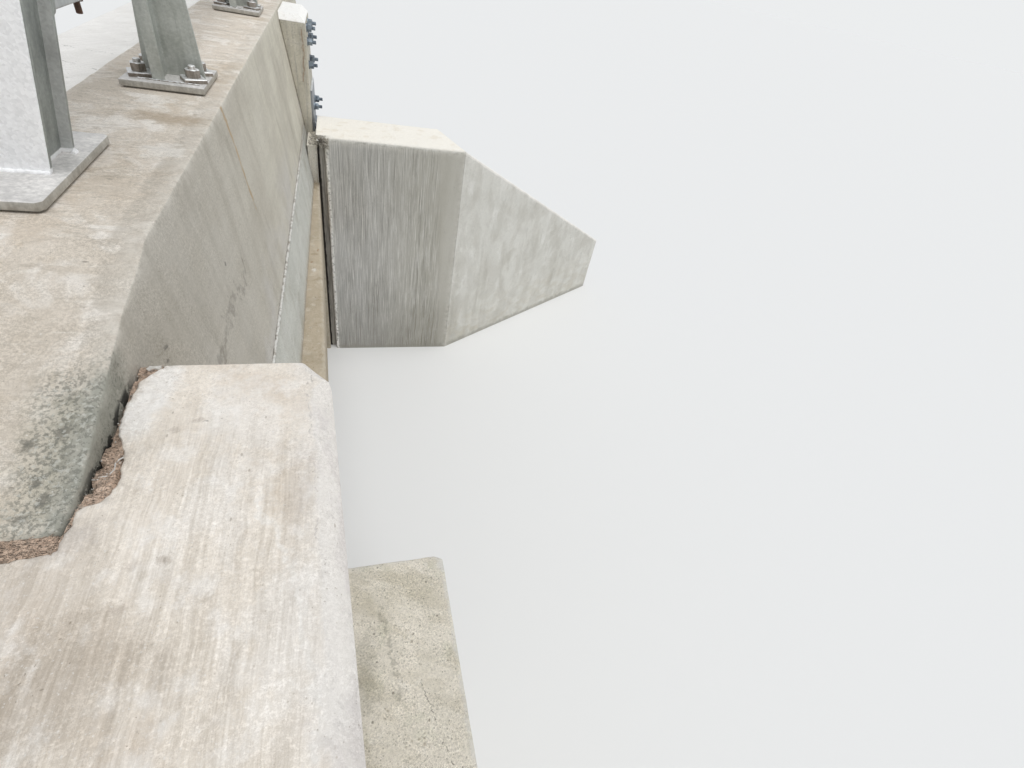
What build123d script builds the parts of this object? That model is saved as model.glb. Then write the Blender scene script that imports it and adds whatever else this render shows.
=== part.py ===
from build123d import *
import os
from math import atan2, cos, hypot, radians, sin, tan

# Culvert headwall: a battered concrete headwall with a ramped coping over a box
# culvert mouth, a far wing wall with a flared end, a near wing wall with a lower
# step wall, and a steel railing on the coping.
# Units are millimetres. +X points out over the stream, +Y runs along the
# headwall, +Z is up. The origin is at foot level under the outer edge of the
# coping, in the middle of the near side wall.

# Culvert mouth
clear_span = 3440
side_wall_t = 410
opening_h = 1280
roof_t = 400
barrel_depth = 1110
ledge_near_out = 332
ledge_far_out = 230

# Headwall above the roof slab
lower_lift_h = 357
upper_lift_h = 769
coping_w = 460
coping_edge = 8
batter_deg = 9.5
ramp_run = 622
ramp_drop = 184
far_run_on = 1945

# Concrete strip behind the coping, on the road side
strip_t = 180
strip_down = 200

# Near wing wall and the step wall beside it
near_wall_len = 2105
near_wall_out = 377
near_wall_skew_deg = 3.35
near_corner_x = 59
near_corner_y = 75
near_edge_chamfer = 40
side_joint = 8
end_joint = 30
filler_h = 190
filler_down = 10
spall_depth = 70
spall_reach = 30
step_wall_out = 720
step_corner = 30
step_corner_depth = 17
step_setback = 5

# Far wing wall
wing_t = 570
wing_h = 2078
wing_gap = 56
wing_filler_in = 60
wing_len = 1134
flare_along = 2230
flare_back = 1380
flare_end_h = 700
wing_edge = 18

# Pilaster on the stream face beyond the far side wall, and the steel fixed to it.
# Heights there are measured down from the coping.
pilaster_x = 190
pilaster_len = 620
pilaster_drop = 16
cap_h = 48
cap_chamfer = 43
stud_column = 145
stud_pitch_y = 240
steel_plate_t = 16
steel_plate_h = 384
steel_plate_w = 450
steel_plate_drop = 518
stud_r = 13
stud_out = 28
stud_nut_af = 46
stud_nut_h = 30
stud_washer_r = 30
stud_washer_t = 8
upper_stud_drops = (106, 198, 356)
lower_stud_drops = (656, 821)

# Railing
post_pitch = 1980
end_post_pitch = 980
post_2_y = 1725
post_x = -199
plate_w = 270
plate_d = 310
plate_t = 20
grout_t = 5
grout_in = 9
post_top_h = 975
post_t = 10
post_left = 87
post_right = 118
post_left_lean_deg = 4
post_right_lean_deg = 4.4
upright_flange_w = 60
rib_x = -17
rib_d = 226
rib_flange_w = 40
anchor_x = 88
anchor_y = 62
anchor_r = 13
anchor_out = 12
anchor_nut_af = 46
anchor_nut_h = 28
anchor_washer = 76
anchor_washer_t = 14

# End post: a welded box section, whose front and back plates stand out past its
# sides, leaning out towards the stream
end_plate_w = 230
end_plate_d = 475
end_plate_x = -321
end_plate_corner = 12
end_flange_w = 164
end_section_d = 158
end_flange_t = 12
end_side_t = 9
end_side_in = 25
end_front_back = 6
end_lean_deg = 10.5
end_cap_t = 10
end_anchor_x = -70
end_anchor_y = 180

# Rails: square tubes on the road side of the posts
rail_x = -192
rail_w = 100
rail_h = 80
rail_wall = 6
rail_heights = (367, 641, 915)
rail_past_post = 190
clip_t = 8
clip_w = 130
clip_h = 70
rail_end_plate_t = 12
rail_end_plate_over = 14
drop_bolt_r = 8
drop_bolt_head_r = 14
drop_bolt_head_t = 10
drop_bolt_past_end = 250
drop_bolt_in = 32
drop_bolt_len = 38

# Levels and lines worked out from the sizes above
near_face = side_wall_t / 2
far_face = near_face + clear_span
near_end = -near_face
far_back = far_face + side_wall_t
run_end = far_back + far_run_on
ledge_z = opening_h + roof_t
lift_z = ledge_z + lower_lift_h
coping_z = lift_z + upper_lift_h
near_top_z = coping_z - ramp_drop
batter = tan(radians(batter_deg))
lift_x = batter * (coping_z - lift_z)
ledge_x = batter * (coping_z - ledge_z)
ramp_top_y = near_end + ramp_run
near_wall_end = near_face - near_wall_len
near_skew = tan(radians(near_wall_skew_deg))
seat_z = coping_z + grout_t
plate_z = seat_z + plate_t
post_top_z = coping_z + post_top_h
end_post_y = post_2_y - end_post_pitch
line_post_ys = [post_2_y + n * post_pitch for n in range(3)]
shoulder_z = coping_z + rail_heights[0] - rail_h / 2 - clip_t
upright_x = rail_x + clip_t


def near_wall_x(y):
    """Stream face of the near wing wall, which is a little skew."""
    return near_wall_out + near_skew * (near_face - near_corner_y - y)


def across(y):
    """Plane of a cross section at y: its x is X and its y is Z."""
    return Plane(origin=(0, y, 0), x_dir=(1, 0, 0), z_dir=(0, -1, 0))


def along(x):
    """Plane of a side view at x: its x is Y and its y is Z."""
    return Plane(origin=(x, 0, 0), x_dir=(0, 1, 0), z_dir=(1, 0, 0))


def save(piece, name):
    piece.part.label = name
    export_step(piece.part, f"parts/{name}.step")


def plan_prism(points, z0, height):
    """An upright block from its outline in plan."""
    with BuildPart() as block:
        with BuildSketch(Plane.XY.offset(z0)):
            with BuildLine():
                Polyline(*points, close=True)
            make_face()
        extrude(amount=height)
    return block


os.makedirs("parts", exist_ok=True)

# Side walls of the culvert, down to the stream bed
near_side_wall = plan_prism(
    [(-barrel_depth, near_end), (0, near_end), (0, near_face), (-barrel_depth, near_face)],
    0,
    opening_h,
)
save(near_side_wall, "near_side_wall")

far_side_wall = plan_prism(
    [
        (-barrel_depth, far_face),
        (ledge_far_out, far_face),
        (ledge_far_out, far_back),
        (-barrel_depth, far_back),
    ],
    0,
    opening_h,
)
save(far_side_wall, "far_side_wall")

# Roof slab of the culvert, whose front edge shows as a ledge below the headwall
roof_slab = plan_prism(
    [
        (-barrel_depth, near_end),
        (0, near_end),
        (0, near_face),
        (ledge_near_out, near_face),
        (ledge_far_out, far_face),
        (ledge_far_out, far_back),
        (-barrel_depth, far_back),
    ],
    opening_h,
    roof_t,
)
save(roof_slab, "roof_slab")

# Lower lift of the headwall: battered over the mouth, upright beside the wing wall
with BuildPart() as lower_lift:
    with BuildSketch(across(near_face)):
        with BuildLine():
            Polyline(
                (-coping_w, ledge_z),
                (ledge_x, ledge_z),
                (lift_x, lift_z),
                (-coping_w, lift_z),
                close=True,
            )
        make_face()
    extrude(amount=-(far_back - near_face))
    with BuildSketch(Plane.XY.offset(ledge_z)):
        with Locations((-coping_w / 2, 0)):
            Rectangle(coping_w, side_wall_t)
    extrude(amount=lower_lift_h)
save(lower_lift, "lower_lift")

# Upper lift with the coping: the same batter, and a ramp down to the near end
with BuildPart() as parapet:
    with BuildSketch(across(near_face)):
        with BuildLine():
            Polyline(
                (-coping_w, lift_z),
                (lift_x, lift_z),
                (batter * coping_edge, coping_z - coping_edge),
                (-coping_edge, coping_z),
                (-coping_w + coping_edge, coping_z),
                (-coping_w, coping_z - coping_edge),
                close=True,
            )
        make_face()
    extrude(amount=-(run_end - near_face))
    with BuildSketch(Plane.XY.offset(lift_z)):
        with Locations((-coping_w / 2, 0)):
            Rectangle(coping_w, side_wall_t)
    extrude(amount=upper_lift_h)
    with BuildSketch(along(-coping_w)):
        with BuildLine():
            Polyline(
                (ramp_top_y, coping_z),
                (near_end, near_top_z),
                (near_end, coping_z),
                close=True,
            )
        make_face()
    extrude(amount=coping_w + lift_x, mode=Mode.SUBTRACT)
save(parapet, "parapet")

# Wall that carries the coping on beyond the culvert, buried in the bank
run_on_wall = plan_prism(
    [(-coping_w, far_back), (lift_x, far_back), (lift_x, run_end), (-coping_w, run_end)],
    0,
    lift_z,
)
save(run_on_wall, "run_on_wall")

# Strip of concrete behind the coping
road_strip = plan_prism(
    [
        (-barrel_depth, near_end),
        (-coping_w, near_end),
        (-coping_w, run_end),
        (-barrel_depth, run_end),
    ],
    coping_z - strip_down - strip_t,
    strip_t,
)
save(road_strip, "road_strip")

# Near wing wall: it laps round the end of the headwall and has a worn joint edge
with BuildPart() as near_wing_wall:
    with BuildSketch():
        with BuildLine():
            Polyline(
                (side_joint, near_face),
                (near_wall_out - near_corner_x, near_face),
                (near_wall_out, near_face - near_corner_y),
                (near_wall_x(near_wall_end), near_wall_end),
                (-coping_w, near_wall_end),
                (-coping_w, near_end - end_joint),
                (side_joint, near_end - end_joint),
                close=True,
            )
        make_face()
    extrude(amount=near_top_z)
    stream_edge = near_wing_wall.edges().group_by(Axis.Z)[-1].sort_by(Axis.X)[-1]
    chamfer(stream_edge, length=near_edge_chamfer)
    with BuildSketch(Plane.XY.offset(near_top_z)):
        with BuildLine():
            Polyline(
                (side_joint, near_face),
                (side_joint + spall_reach, near_face),
                (side_joint + 0.1 * spall_reach, near_face - 0.2 * side_wall_t),
                (side_joint, near_face - 0.45 * side_wall_t),
                close=True,
            )
            Polyline(
                (side_joint, near_face - 0.5 * side_wall_t),
                (side_joint + 0.6 * spall_reach, near_face - 0.6 * side_wall_t),
                (side_joint + 0.85 * spall_reach, near_face - 0.84 * side_wall_t),
                (side_joint, near_face - 0.88 * side_wall_t),
                close=True,
            )
        make_face()
    extrude(amount=-spall_depth, mode=Mode.SUBTRACT)
save(near_wing_wall, "near_wing_wall")

# Fibre strips in the joint round the end of the coping
with BuildPart() as joint_filler:
    with BuildSketch(Plane.XY.offset(near_top_z - filler_down - filler_h)):
        with BuildLine():
            Polyline(
                (0, near_face),
                (side_joint, near_face),
                (side_joint, near_end - end_joint),
                (-coping_w, near_end - end_joint),
                (-coping_w, near_end),
                (0, near_end),
                close=True,
            )
        make_face()
    extrude(amount=filler_h)
save(joint_filler, "joint_filler")

# Lower step wall on the stream side of the near wing wall
step_end_y = near_face - step_setback
step_inner_x = near_wall_out - near_corner_x * (1 - step_setback / near_corner_y)
step_wall = plan_prism(
    [
        (near_wall_out, near_face - near_corner_y),
        (step_inner_x, step_end_y),
        (step_wall_out - step_corner, step_end_y),
        (step_wall_out, step_end_y - step_corner_depth),
        (step_wall_out, near_wall_end),
        (near_wall_x(near_wall_end), near_wall_end),
    ],
    0,
    ledge_z,
)
save(step_wall, "step_wall")

# Far wing wall: a straight length square to the headwall, then a flared end
wing_x0 = ledge_far_out + wing_gap
wing_x1 = wing_x0 + wing_len
flare_len = hypot(flare_along, flare_back)
flare_turn = atan2(flare_back, flare_along)
mitre = wing_t * tan(flare_turn / 2)
back_x = wing_x1 - mitre
back_y = far_face + wing_t

with BuildPart() as far_wing_wall:
    with BuildSketch():
        with BuildLine():
            Polyline(
                (wing_x0, far_face),
                (wing_x1, far_face),
                (back_x, back_y),
                (wing_x0, back_y),
                close=True,
            )
        make_face()
    extrude(amount=wing_h)
    top_edges = far_wing_wall.edges().group_by(Axis.Z)[-1]
    chamfer(top_edges.sort_by(Axis.Y)[0], length=wing_edge)
save(far_wing_wall, "far_wing_wall")

# Board in the joint between the culvert and the far wing wall, set back from its face
wing_joint_filler = plan_prism(
    [
        (ledge_far_out, far_face + wing_filler_in),
        (wing_x0, far_face + wing_filler_in),
        (wing_x0, far_back),
        (ledge_far_out, far_back),
    ],
    0,
    ledge_z,
)
save(wing_joint_filler, "wing_joint_filler")

flare_plane = Plane(
    origin=(wing_x1, far_face, 0),
    x_dir=(cos(flare_turn), sin(flare_turn), 0),
    z_dir=(sin(flare_turn), -cos(flare_turn), 0),
)
with BuildPart() as far_wing_flare:
    with BuildSketch():
        with BuildLine():
            Polyline(
                (wing_x1, far_face),
                (wing_x1 + flare_along, far_face + flare_back),
                (
                    wing_x1 + flare_along - wing_t * sin(flare_turn),
                    far_face + flare_back + wing_t * cos(flare_turn),
                ),
                (back_x, back_y),
                close=True,
            )
        make_face()
    extrude(amount=wing_h)
    with BuildSketch(flare_plane):
        with BuildLine():
            Polyline(
                (0, wing_h),
                (flare_len, flare_end_h),
                (flare_len, wing_h),
                close=True,
            )
        make_face()
    extrude(amount=-wing_t, mode=Mode.SUBTRACT)
save(far_wing_flare, "far_wing_flare")

# Pilaster against the battered face, from the ground up to its chamfered top course
cap_z = coping_z - pilaster_drop
cap_seat_z = cap_z - cap_h
with BuildPart() as pilaster:
    with BuildSketch(across(far_back)):
        with BuildLine():
            Polyline(
                (lift_x, 0),
                (pilaster_x, 0),
                (pilaster_x, cap_seat_z),
                (batter * (coping_z - cap_seat_z), cap_seat_z),
                (lift_x, lift_z),
                close=True,
            )
        make_face()
    extrude(amount=-pilaster_len)
save(pilaster, "pilaster")

with BuildPart() as pilaster_cap:
    with BuildSketch(across(far_back)):
        with BuildLine():
            Polyline(
                (batter * (coping_z - cap_seat_z), cap_seat_z),
                (pilaster_x, cap_seat_z),
                (pilaster_x, cap_z),
                (batter * pilaster_drop, cap_z),
                close=True,
            )
        make_face()
    extrude(amount=-pilaster_len)
    cap_edges = pilaster_cap.edges().group_by(Axis.Z)[-1]
    chamfer(cap_edges.sort_by(Axis.X)[1:], length=cap_chamfer)
save(pilaster_cap, "pilaster_cap")

# Steel plate and through bolts on the stream face of the pilaster
stud_mid_y = far_back + stud_column + stud_pitch_y / 2
with BuildPart() as pilaster_plate:
    with BuildSketch(along(pilaster_x)):
        with Locations((stud_mid_y, coping_z - steel_plate_drop - steel_plate_h / 2)):
            Rectangle(steel_plate_w, steel_plate_h)
    extrude(amount=steel_plate_t)
save(pilaster_plate, "pilaster_plate")


def stud_group(seat_x, drops):
    """Bolt ends with washer and nut, in two columns on a face at seat_x."""
    rows = [coping_z - drop for drop in drops]
    spots = [(stud_mid_y + side * stud_pitch_y / 2, z) for z in rows for side in (-1, 1)]
    with BuildPart() as studs:
        with BuildSketch(along(seat_x)):
            with Locations(*spots):
                Circle(stud_washer_r)
        extrude(amount=stud_washer_t)
        with BuildSketch(along(seat_x + stud_washer_t)):
            with Locations(*spots):
                RegularPolygon(stud_nut_af / 2, 6, major_radius=False)
        extrude(amount=stud_nut_h)
        with BuildSketch(along(seat_x + stud_washer_t + stud_nut_h)):
            with Locations(*spots):
                Circle(stud_r)
        extrude(amount=stud_out)
    return studs


upper_studs = stud_group(pilaster_x, upper_stud_drops)
save(upper_studs, "upper_studs")
lower_studs = stud_group(pilaster_x + steel_plate_t, lower_stud_drops)
save(lower_studs, "lower_studs")


def grout_pad(x, y, width, depth):
    """Mortar bed under a base plate, a little smaller than the plate."""
    with BuildPart() as pad:
        with BuildSketch(Plane.XY.offset(coping_z)):
            with Locations((x, y)):
                Rectangle(width - 2 * grout_in, depth - 2 * grout_in)
        extrude(amount=grout_t)
    return pad


def base_plate(x, y, width, depth):
    """Steel base plate on its mortar bed."""
    with BuildPart() as plate:
        with BuildSketch(Plane.XY.offset(seat_z)):
            with Locations((x, y)):
                Rectangle(width, depth)
        extrude(amount=plate_t)
    return plate


def anchor_set(spots):
    """Anchor bolt ends with square washers and hexagon nuts on a base plate."""
    with BuildPart() as anchors:
        with BuildSketch(Plane.XY.offset(plate_z)):
            with Locations(*spots):
                Rectangle(anchor_washer, anchor_washer)
        extrude(amount=anchor_washer_t)
        with BuildSketch(Plane.XY.offset(plate_z + anchor_washer_t)):
            with Locations(*spots):
                RegularPolygon(anchor_nut_af / 2, 6, major_radius=False)
        extrude(amount=anchor_nut_h)
        with BuildSketch(Plane.XY.offset(plate_z + anchor_washer_t + anchor_nut_h)):
            with Locations(*spots):
                Circle(anchor_r)
        extrude(amount=anchor_out)
    return anchors


left_lean = tan(radians(post_left_lean_deg))
right_lean = tan(radians(post_right_lean_deg))
post_right_x = post_x + post_right
shoulder_left_x = post_x - post_left + left_lean * (shoulder_z - plate_z)
shoulder_right_x = post_right_x - right_lean * (shoulder_z - plate_z)


def line_post(y):
    """Post with a broad tapered foot, and above its shoulder a narrow upright.

    The foot is a plate across the wall, stiffened by flanged ribs fore and aft. The
    upright has a flange towards the rails.
    """
    with BuildPart() as post:
        with BuildSketch(across(y - post_t / 2)):
            with BuildLine():
                Polyline(
                    (post_x - post_left, plate_z),
                    (post_right_x, plate_z),
                    (shoulder_right_x, shoulder_z),
                    (shoulder_right_x, post_top_z),
                    (upright_x, post_top_z),
                    (upright_x, shoulder_z),
                    (shoulder_left_x, shoulder_z),
                    close=True,
                )
            make_face()
        extrude(amount=-post_t)
        with BuildSketch(Plane.XY.offset(plate_z)):
            with Locations((post_x + rib_x, y)):
                Rectangle(post_t, rib_d)
            with Locations(*[(post_x + rib_x, y + side * (rib_d - post_t) / 2) for side in (-1, 1)]):
                Rectangle(rib_flange_w, post_t)
        extrude(amount=shoulder_z - plate_z)
        with BuildSketch(Plane.XY.offset(shoulder_z)):
            with Locations((upright_x + post_t / 2, y)):
                Rectangle(post_t, upright_flange_w)
        extrude(amount=post_top_z - shoulder_z)
    return post


def rail_clips(y):
    """Clip plates from the post's upright to each rail, and a seat on its shoulder."""
    with BuildPart() as clips:
        with BuildSketch(along(rail_x)):
            with Locations(*[(y, coping_z + height) for height in rail_heights]):
                Rectangle(clip_w, clip_h)
        extrude(amount=clip_t)
        with BuildSketch(Plane.XY.offset(shoulder_z)):
            with Locations((rail_x - rail_w / 2, y)):
                Rectangle(rail_w, clip_w)
        extrude(amount=clip_t)
    return clips


for number, y in enumerate(line_post_ys, start=2):
    spots = [(post_x + i * anchor_x, y + j * anchor_y) for i in (-1, 1) for j in (-1, 1)]
    save(grout_pad(post_x, y, plate_w, plate_d), f"post_{number}_grout")
    save(base_plate(post_x, y, plate_w, plate_d), f"post_{number}_base")
    save(anchor_set(spots), f"post_{number}_anchors")
    save(line_post(y), f"post_{number}")
    save(rail_clips(y), f"post_{number}_clips")

# Foot of the end post
end_spots = [(end_plate_x + end_anchor_x, end_post_y + j * end_anchor_y) for j in (-1, 1)]
end_post_base = base_plate(end_plate_x, end_post_y, end_plate_w, end_plate_d)
with end_post_base:
    chamfer(end_post_base.edges().filter_by(Axis.Z), length=end_plate_corner)
save(end_post_base, "end_post_base")
save(grout_pad(end_plate_x, end_post_y, end_plate_w, end_plate_d), "end_post_grout")
save(anchor_set(end_spots), "end_post_anchors")

# Leaning box of the end post, made of upright strips across the wall and a cap
end_lean = tan(radians(end_lean_deg))
end_front_y = end_post_y + end_front_back - end_section_d / 2
end_back_y = end_front_y + end_section_d
end_side_x = end_flange_w / 2 - end_side_in - end_side_t / 2
end_strips = (
    (0, end_flange_w, end_front_y, end_flange_t),
    (-end_side_x, end_side_t, end_front_y + end_flange_t, end_section_d - 2 * end_flange_t),
    (end_side_x, end_side_t, end_front_y + end_flange_t, end_section_d - 2 * end_flange_t),
    (0, end_flange_w, end_back_y - end_flange_t, end_flange_t),
)
end_post_h = post_top_z - plate_z
with BuildPart() as end_post:
    for middle, width, y0, depth in end_strips:
        with BuildSketch(across(y0)):
            with BuildLine():
                left = end_plate_x + middle - width / 2
                Polyline(
                    (left, plate_z),
                    (left + width, plate_z),
                    (left + width + end_lean * end_post_h, post_top_z),
                    (left + end_lean * end_post_h, post_top_z),
                    close=True,
                )
            make_face()
        extrude(amount=-depth)
    with BuildSketch(Plane.XY.offset(post_top_z)):
        with Locations((end_plate_x + end_lean * end_post_h, end_front_y + end_section_d / 2)):
            Rectangle(end_flange_w, end_section_d)
    extrude(amount=end_cap_t)
save(end_post, "end_post")

# Rails, their end plates on the back of the end post, and a bolt through the lowest
rail_y0 = end_back_y + rail_end_plate_t
rail_y1 = line_post_ys[-1] + rail_past_post
for name, height in zip(("lower_rail", "middle_rail", "top_rail"), rail_heights):
    with BuildPart() as rail:
        with BuildSketch(across(rail_y0)):
            with Locations((rail_x - rail_w / 2, coping_z + height)):
                Rectangle(rail_w, rail_h)
                Rectangle(rail_w - 2 * rail_wall, rail_h - 2 * rail_wall, mode=Mode.SUBTRACT)
        extrude(amount=-(rail_y1 - rail_y0))
    save(rail, name)

with BuildPart() as rail_end_plates:
    for height in rail_heights:
        z = coping_z + height
        left = rail_x - rail_w
        right = end_plate_x + end_flange_w / 2 + end_lean * (z - plate_z)
        with BuildSketch(across(end_back_y)):
            with Locations(((left + right) / 2, z)):
                Rectangle(right - left, rail_h + 2 * rail_end_plate_over)
        extrude(amount=-rail_end_plate_t)
save(rail_end_plates, "rail_end_plates")

drop_spot = (rail_x - drop_bolt_in, rail_y0 + drop_bolt_past_end)
drop_z = coping_z + rail_heights[0] - rail_h / 2
with BuildPart() as drop_bolt:
    with BuildSketch(Plane.XY.offset(drop_z)):
        with Locations(drop_spot):
            RegularPolygon(drop_bolt_head_r, 6, major_radius=False)
    extrude(amount=-drop_bolt_head_t)
    with BuildSketch(Plane.XY.offset(drop_z - drop_bolt_head_t)):
        with Locations(drop_spot):
            Circle(drop_bolt_r)
    extrude(amount=-(drop_bolt_len - drop_bolt_head_t))
save(drop_bolt, "drop_bolt")

print("pieces written, coping level", coping_z, "run end", run_end)
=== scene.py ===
# %% [markdown]
# # A culvert headwall in weathered concrete and galvanized steel
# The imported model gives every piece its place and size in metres: +X points out over the
# stream, +Y runs along the headwall and +Z is up. This lesson dresses that model. Concrete
# pieces get new meshes whose edges are worn and chipped, steel pieces get softened edges,
# and small things such as nuts, weld beads, fibres and crumbs are added.

# %% Load the frame
import bpy
import bmesh
import numpy as np
from math import cos, hypot, pi, radians, sin, tan
from mathutils import Matrix, Vector, noise


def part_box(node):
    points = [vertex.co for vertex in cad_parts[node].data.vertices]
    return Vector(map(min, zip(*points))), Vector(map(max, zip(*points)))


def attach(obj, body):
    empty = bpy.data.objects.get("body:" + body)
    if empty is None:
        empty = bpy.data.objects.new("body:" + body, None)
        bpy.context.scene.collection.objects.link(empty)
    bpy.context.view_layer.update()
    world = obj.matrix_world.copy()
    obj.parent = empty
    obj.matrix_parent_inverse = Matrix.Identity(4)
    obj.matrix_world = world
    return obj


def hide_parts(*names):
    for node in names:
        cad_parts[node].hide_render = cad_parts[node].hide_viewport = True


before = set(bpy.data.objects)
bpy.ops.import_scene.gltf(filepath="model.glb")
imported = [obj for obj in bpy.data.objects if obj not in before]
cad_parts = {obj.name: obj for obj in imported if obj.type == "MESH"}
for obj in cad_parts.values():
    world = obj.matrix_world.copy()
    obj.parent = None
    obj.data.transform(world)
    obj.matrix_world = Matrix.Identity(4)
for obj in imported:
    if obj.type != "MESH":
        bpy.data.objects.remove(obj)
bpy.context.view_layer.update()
print("nodes:", len(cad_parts))

# %% [markdown]
# ## The levels and lines of the headwall
# Sizes that several pieces share are read from the boxes of the nodes, so the dressed
# pieces follow the model. Only the batter of the face and the ramp's length, which no box
# gives, are written as numbers.

# %% Shared levels and lines
parapet_lo, parapet_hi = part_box("parapet")
slab_lo, slab_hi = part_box("near_wing_wall")
step_lo, step_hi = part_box("step_wall")
roof_lo, roof_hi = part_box("roof_slab")
wing_lo, wing_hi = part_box("far_wing_wall")
flare_lo, flare_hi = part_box("far_wing_flare")
near_lo, near_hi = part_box("near_side_wall")
far_lo, far_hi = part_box("far_side_wall")
batter = tan(radians(9.5))
ramp_run = 0.622
coping_z = parapet_hi.z
lift_z = parapet_lo.z
ledge_z = roof_hi.z
near_top_z = slab_hi.z
near_end = parapet_lo.y
near_face = near_hi.y
far_face = far_lo.y
far_back = far_hi.y
ramp_top_y = near_end + ramp_run
back_x = parapet_lo.x
print("coping", round(coping_z, 3), "mouth", round(far_face - near_face, 3))

# %% [markdown]
# ## Camera
# The photograph looks steeply down from the road side of the near wing wall. Its place and
# turn were solved from the edges of the walls, so the axes are written out as a matrix.

# %% Camera
scene = bpy.context.scene


def stand(name, data):
    """Puts a mesh, a light or a camera into the scene as an object."""
    made = bpy.data.objects.new(name, data)
    scene.collection.objects.link(made)
    return made


eye = Vector((0.42, -0.775, 3.416))
right = Vector((0.9522, -0.2506, 0.1748))
up = Vector((0.0375, 0.6635, 0.7473))
back = Vector((-0.3033, -0.7049, 0.6412))
camera_data = bpy.data.cameras.new("camera")
camera_data.sensor_width = 36
camera_data.lens = 17.72
camera_data.clip_start = 0.01
camera = stand("camera", camera_data)
camera.matrix_world = Matrix([(right[k], up[k], back[k], eye[k]) for k in range(3)] + [(0, 0, 0, 1)])
scene.camera = camera
print("camera at", tuple(round(v, 2) for v in eye))

# %% [markdown]
# ## Light and floor
# A dull sky lights the real wall: bright on flat tops, softer on upright faces. The same
# comes from an even world and one wide sun lamp high above. The floor is pale and plain.
# The eye, and what steel mirrors, see a paper white instead of the sky.

# %% Light and floor
scene.view_settings.view_transform = "Standard"
world = bpy.data.worlds.new("studio")
scene.world = world
world.use_nodes = True
new, link = world.node_tree.nodes.new, world.node_tree.links.new
sky = world.node_tree.nodes["Background"]
paper = new("ShaderNodeBackground")
for light, color, strength in ((sky, (0.93, 0.96, 1.0, 1), 0.56), (paper, (0.838, 0.852, 0.8585, 1), 1.0)):
    light.inputs["Color"].default_value = color
    light.inputs["Strength"].default_value = strength
seen = new("ShaderNodeLightPath").outputs
any_ray = seen["Is Camera Ray"]
for ray in ("Is Glossy Ray", "Is Transmission Ray"):
    either = new("ShaderNodeMath")
    either.operation = "MAXIMUM"
    link(any_ray, either.inputs[0])
    link(seen[ray], either.inputs[1])
    any_ray = either.outputs[0]
world_mix = new("ShaderNodeMixShader")
for index, socket in enumerate((any_ray, sky.outputs[0], paper.outputs[0])):
    link(socket, world_mix.inputs[index])
link(world_mix.outputs[0], world.node_tree.nodes["World Output"].inputs[0])

sun_data = bpy.data.lights.new("high_sun", "SUN")
sun_data.energy = 1.68
sun_data.angle = radians(50)
sun = stand("high_sun", sun_data)
sun.rotation_euler = (radians(14), radians(16), 0)

floor_half = 2000.0
floor_mesh = bpy.data.meshes.new("floor")
floor_corners = [(x * floor_half, y * floor_half, 0) for x, y in ((-1, -1), (1, -1), (1, 1), (-1, 1))]
floor_mesh.from_pydata(floor_corners, [], [(0, 1, 2, 3)])
floor = stand("floor", floor_mesh)
floor_paint = bpy.data.materials.new("floor_paint")
floor_paint.use_nodes = True
floor_shader = floor_paint.node_tree.nodes["Principled BSDF"]
floor_shader.inputs["Base Color"].default_value = (0.8, 0.8, 0.79, 1)
floor_shader.inputs["Roughness"].default_value = 0.9
floor_mesh.materials.append(floor_paint)
print("floor and", sun.name, "ready")

# %% [markdown]
# ## Small helpers for node trees
# A material here is a short recipe: noise in object coordinates, turned into masks, which
# mix colours and heights. The `Recipe` class keeps each recipe to one line a node. The
# Geometry Nodes trees further on are written with it too.

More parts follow.
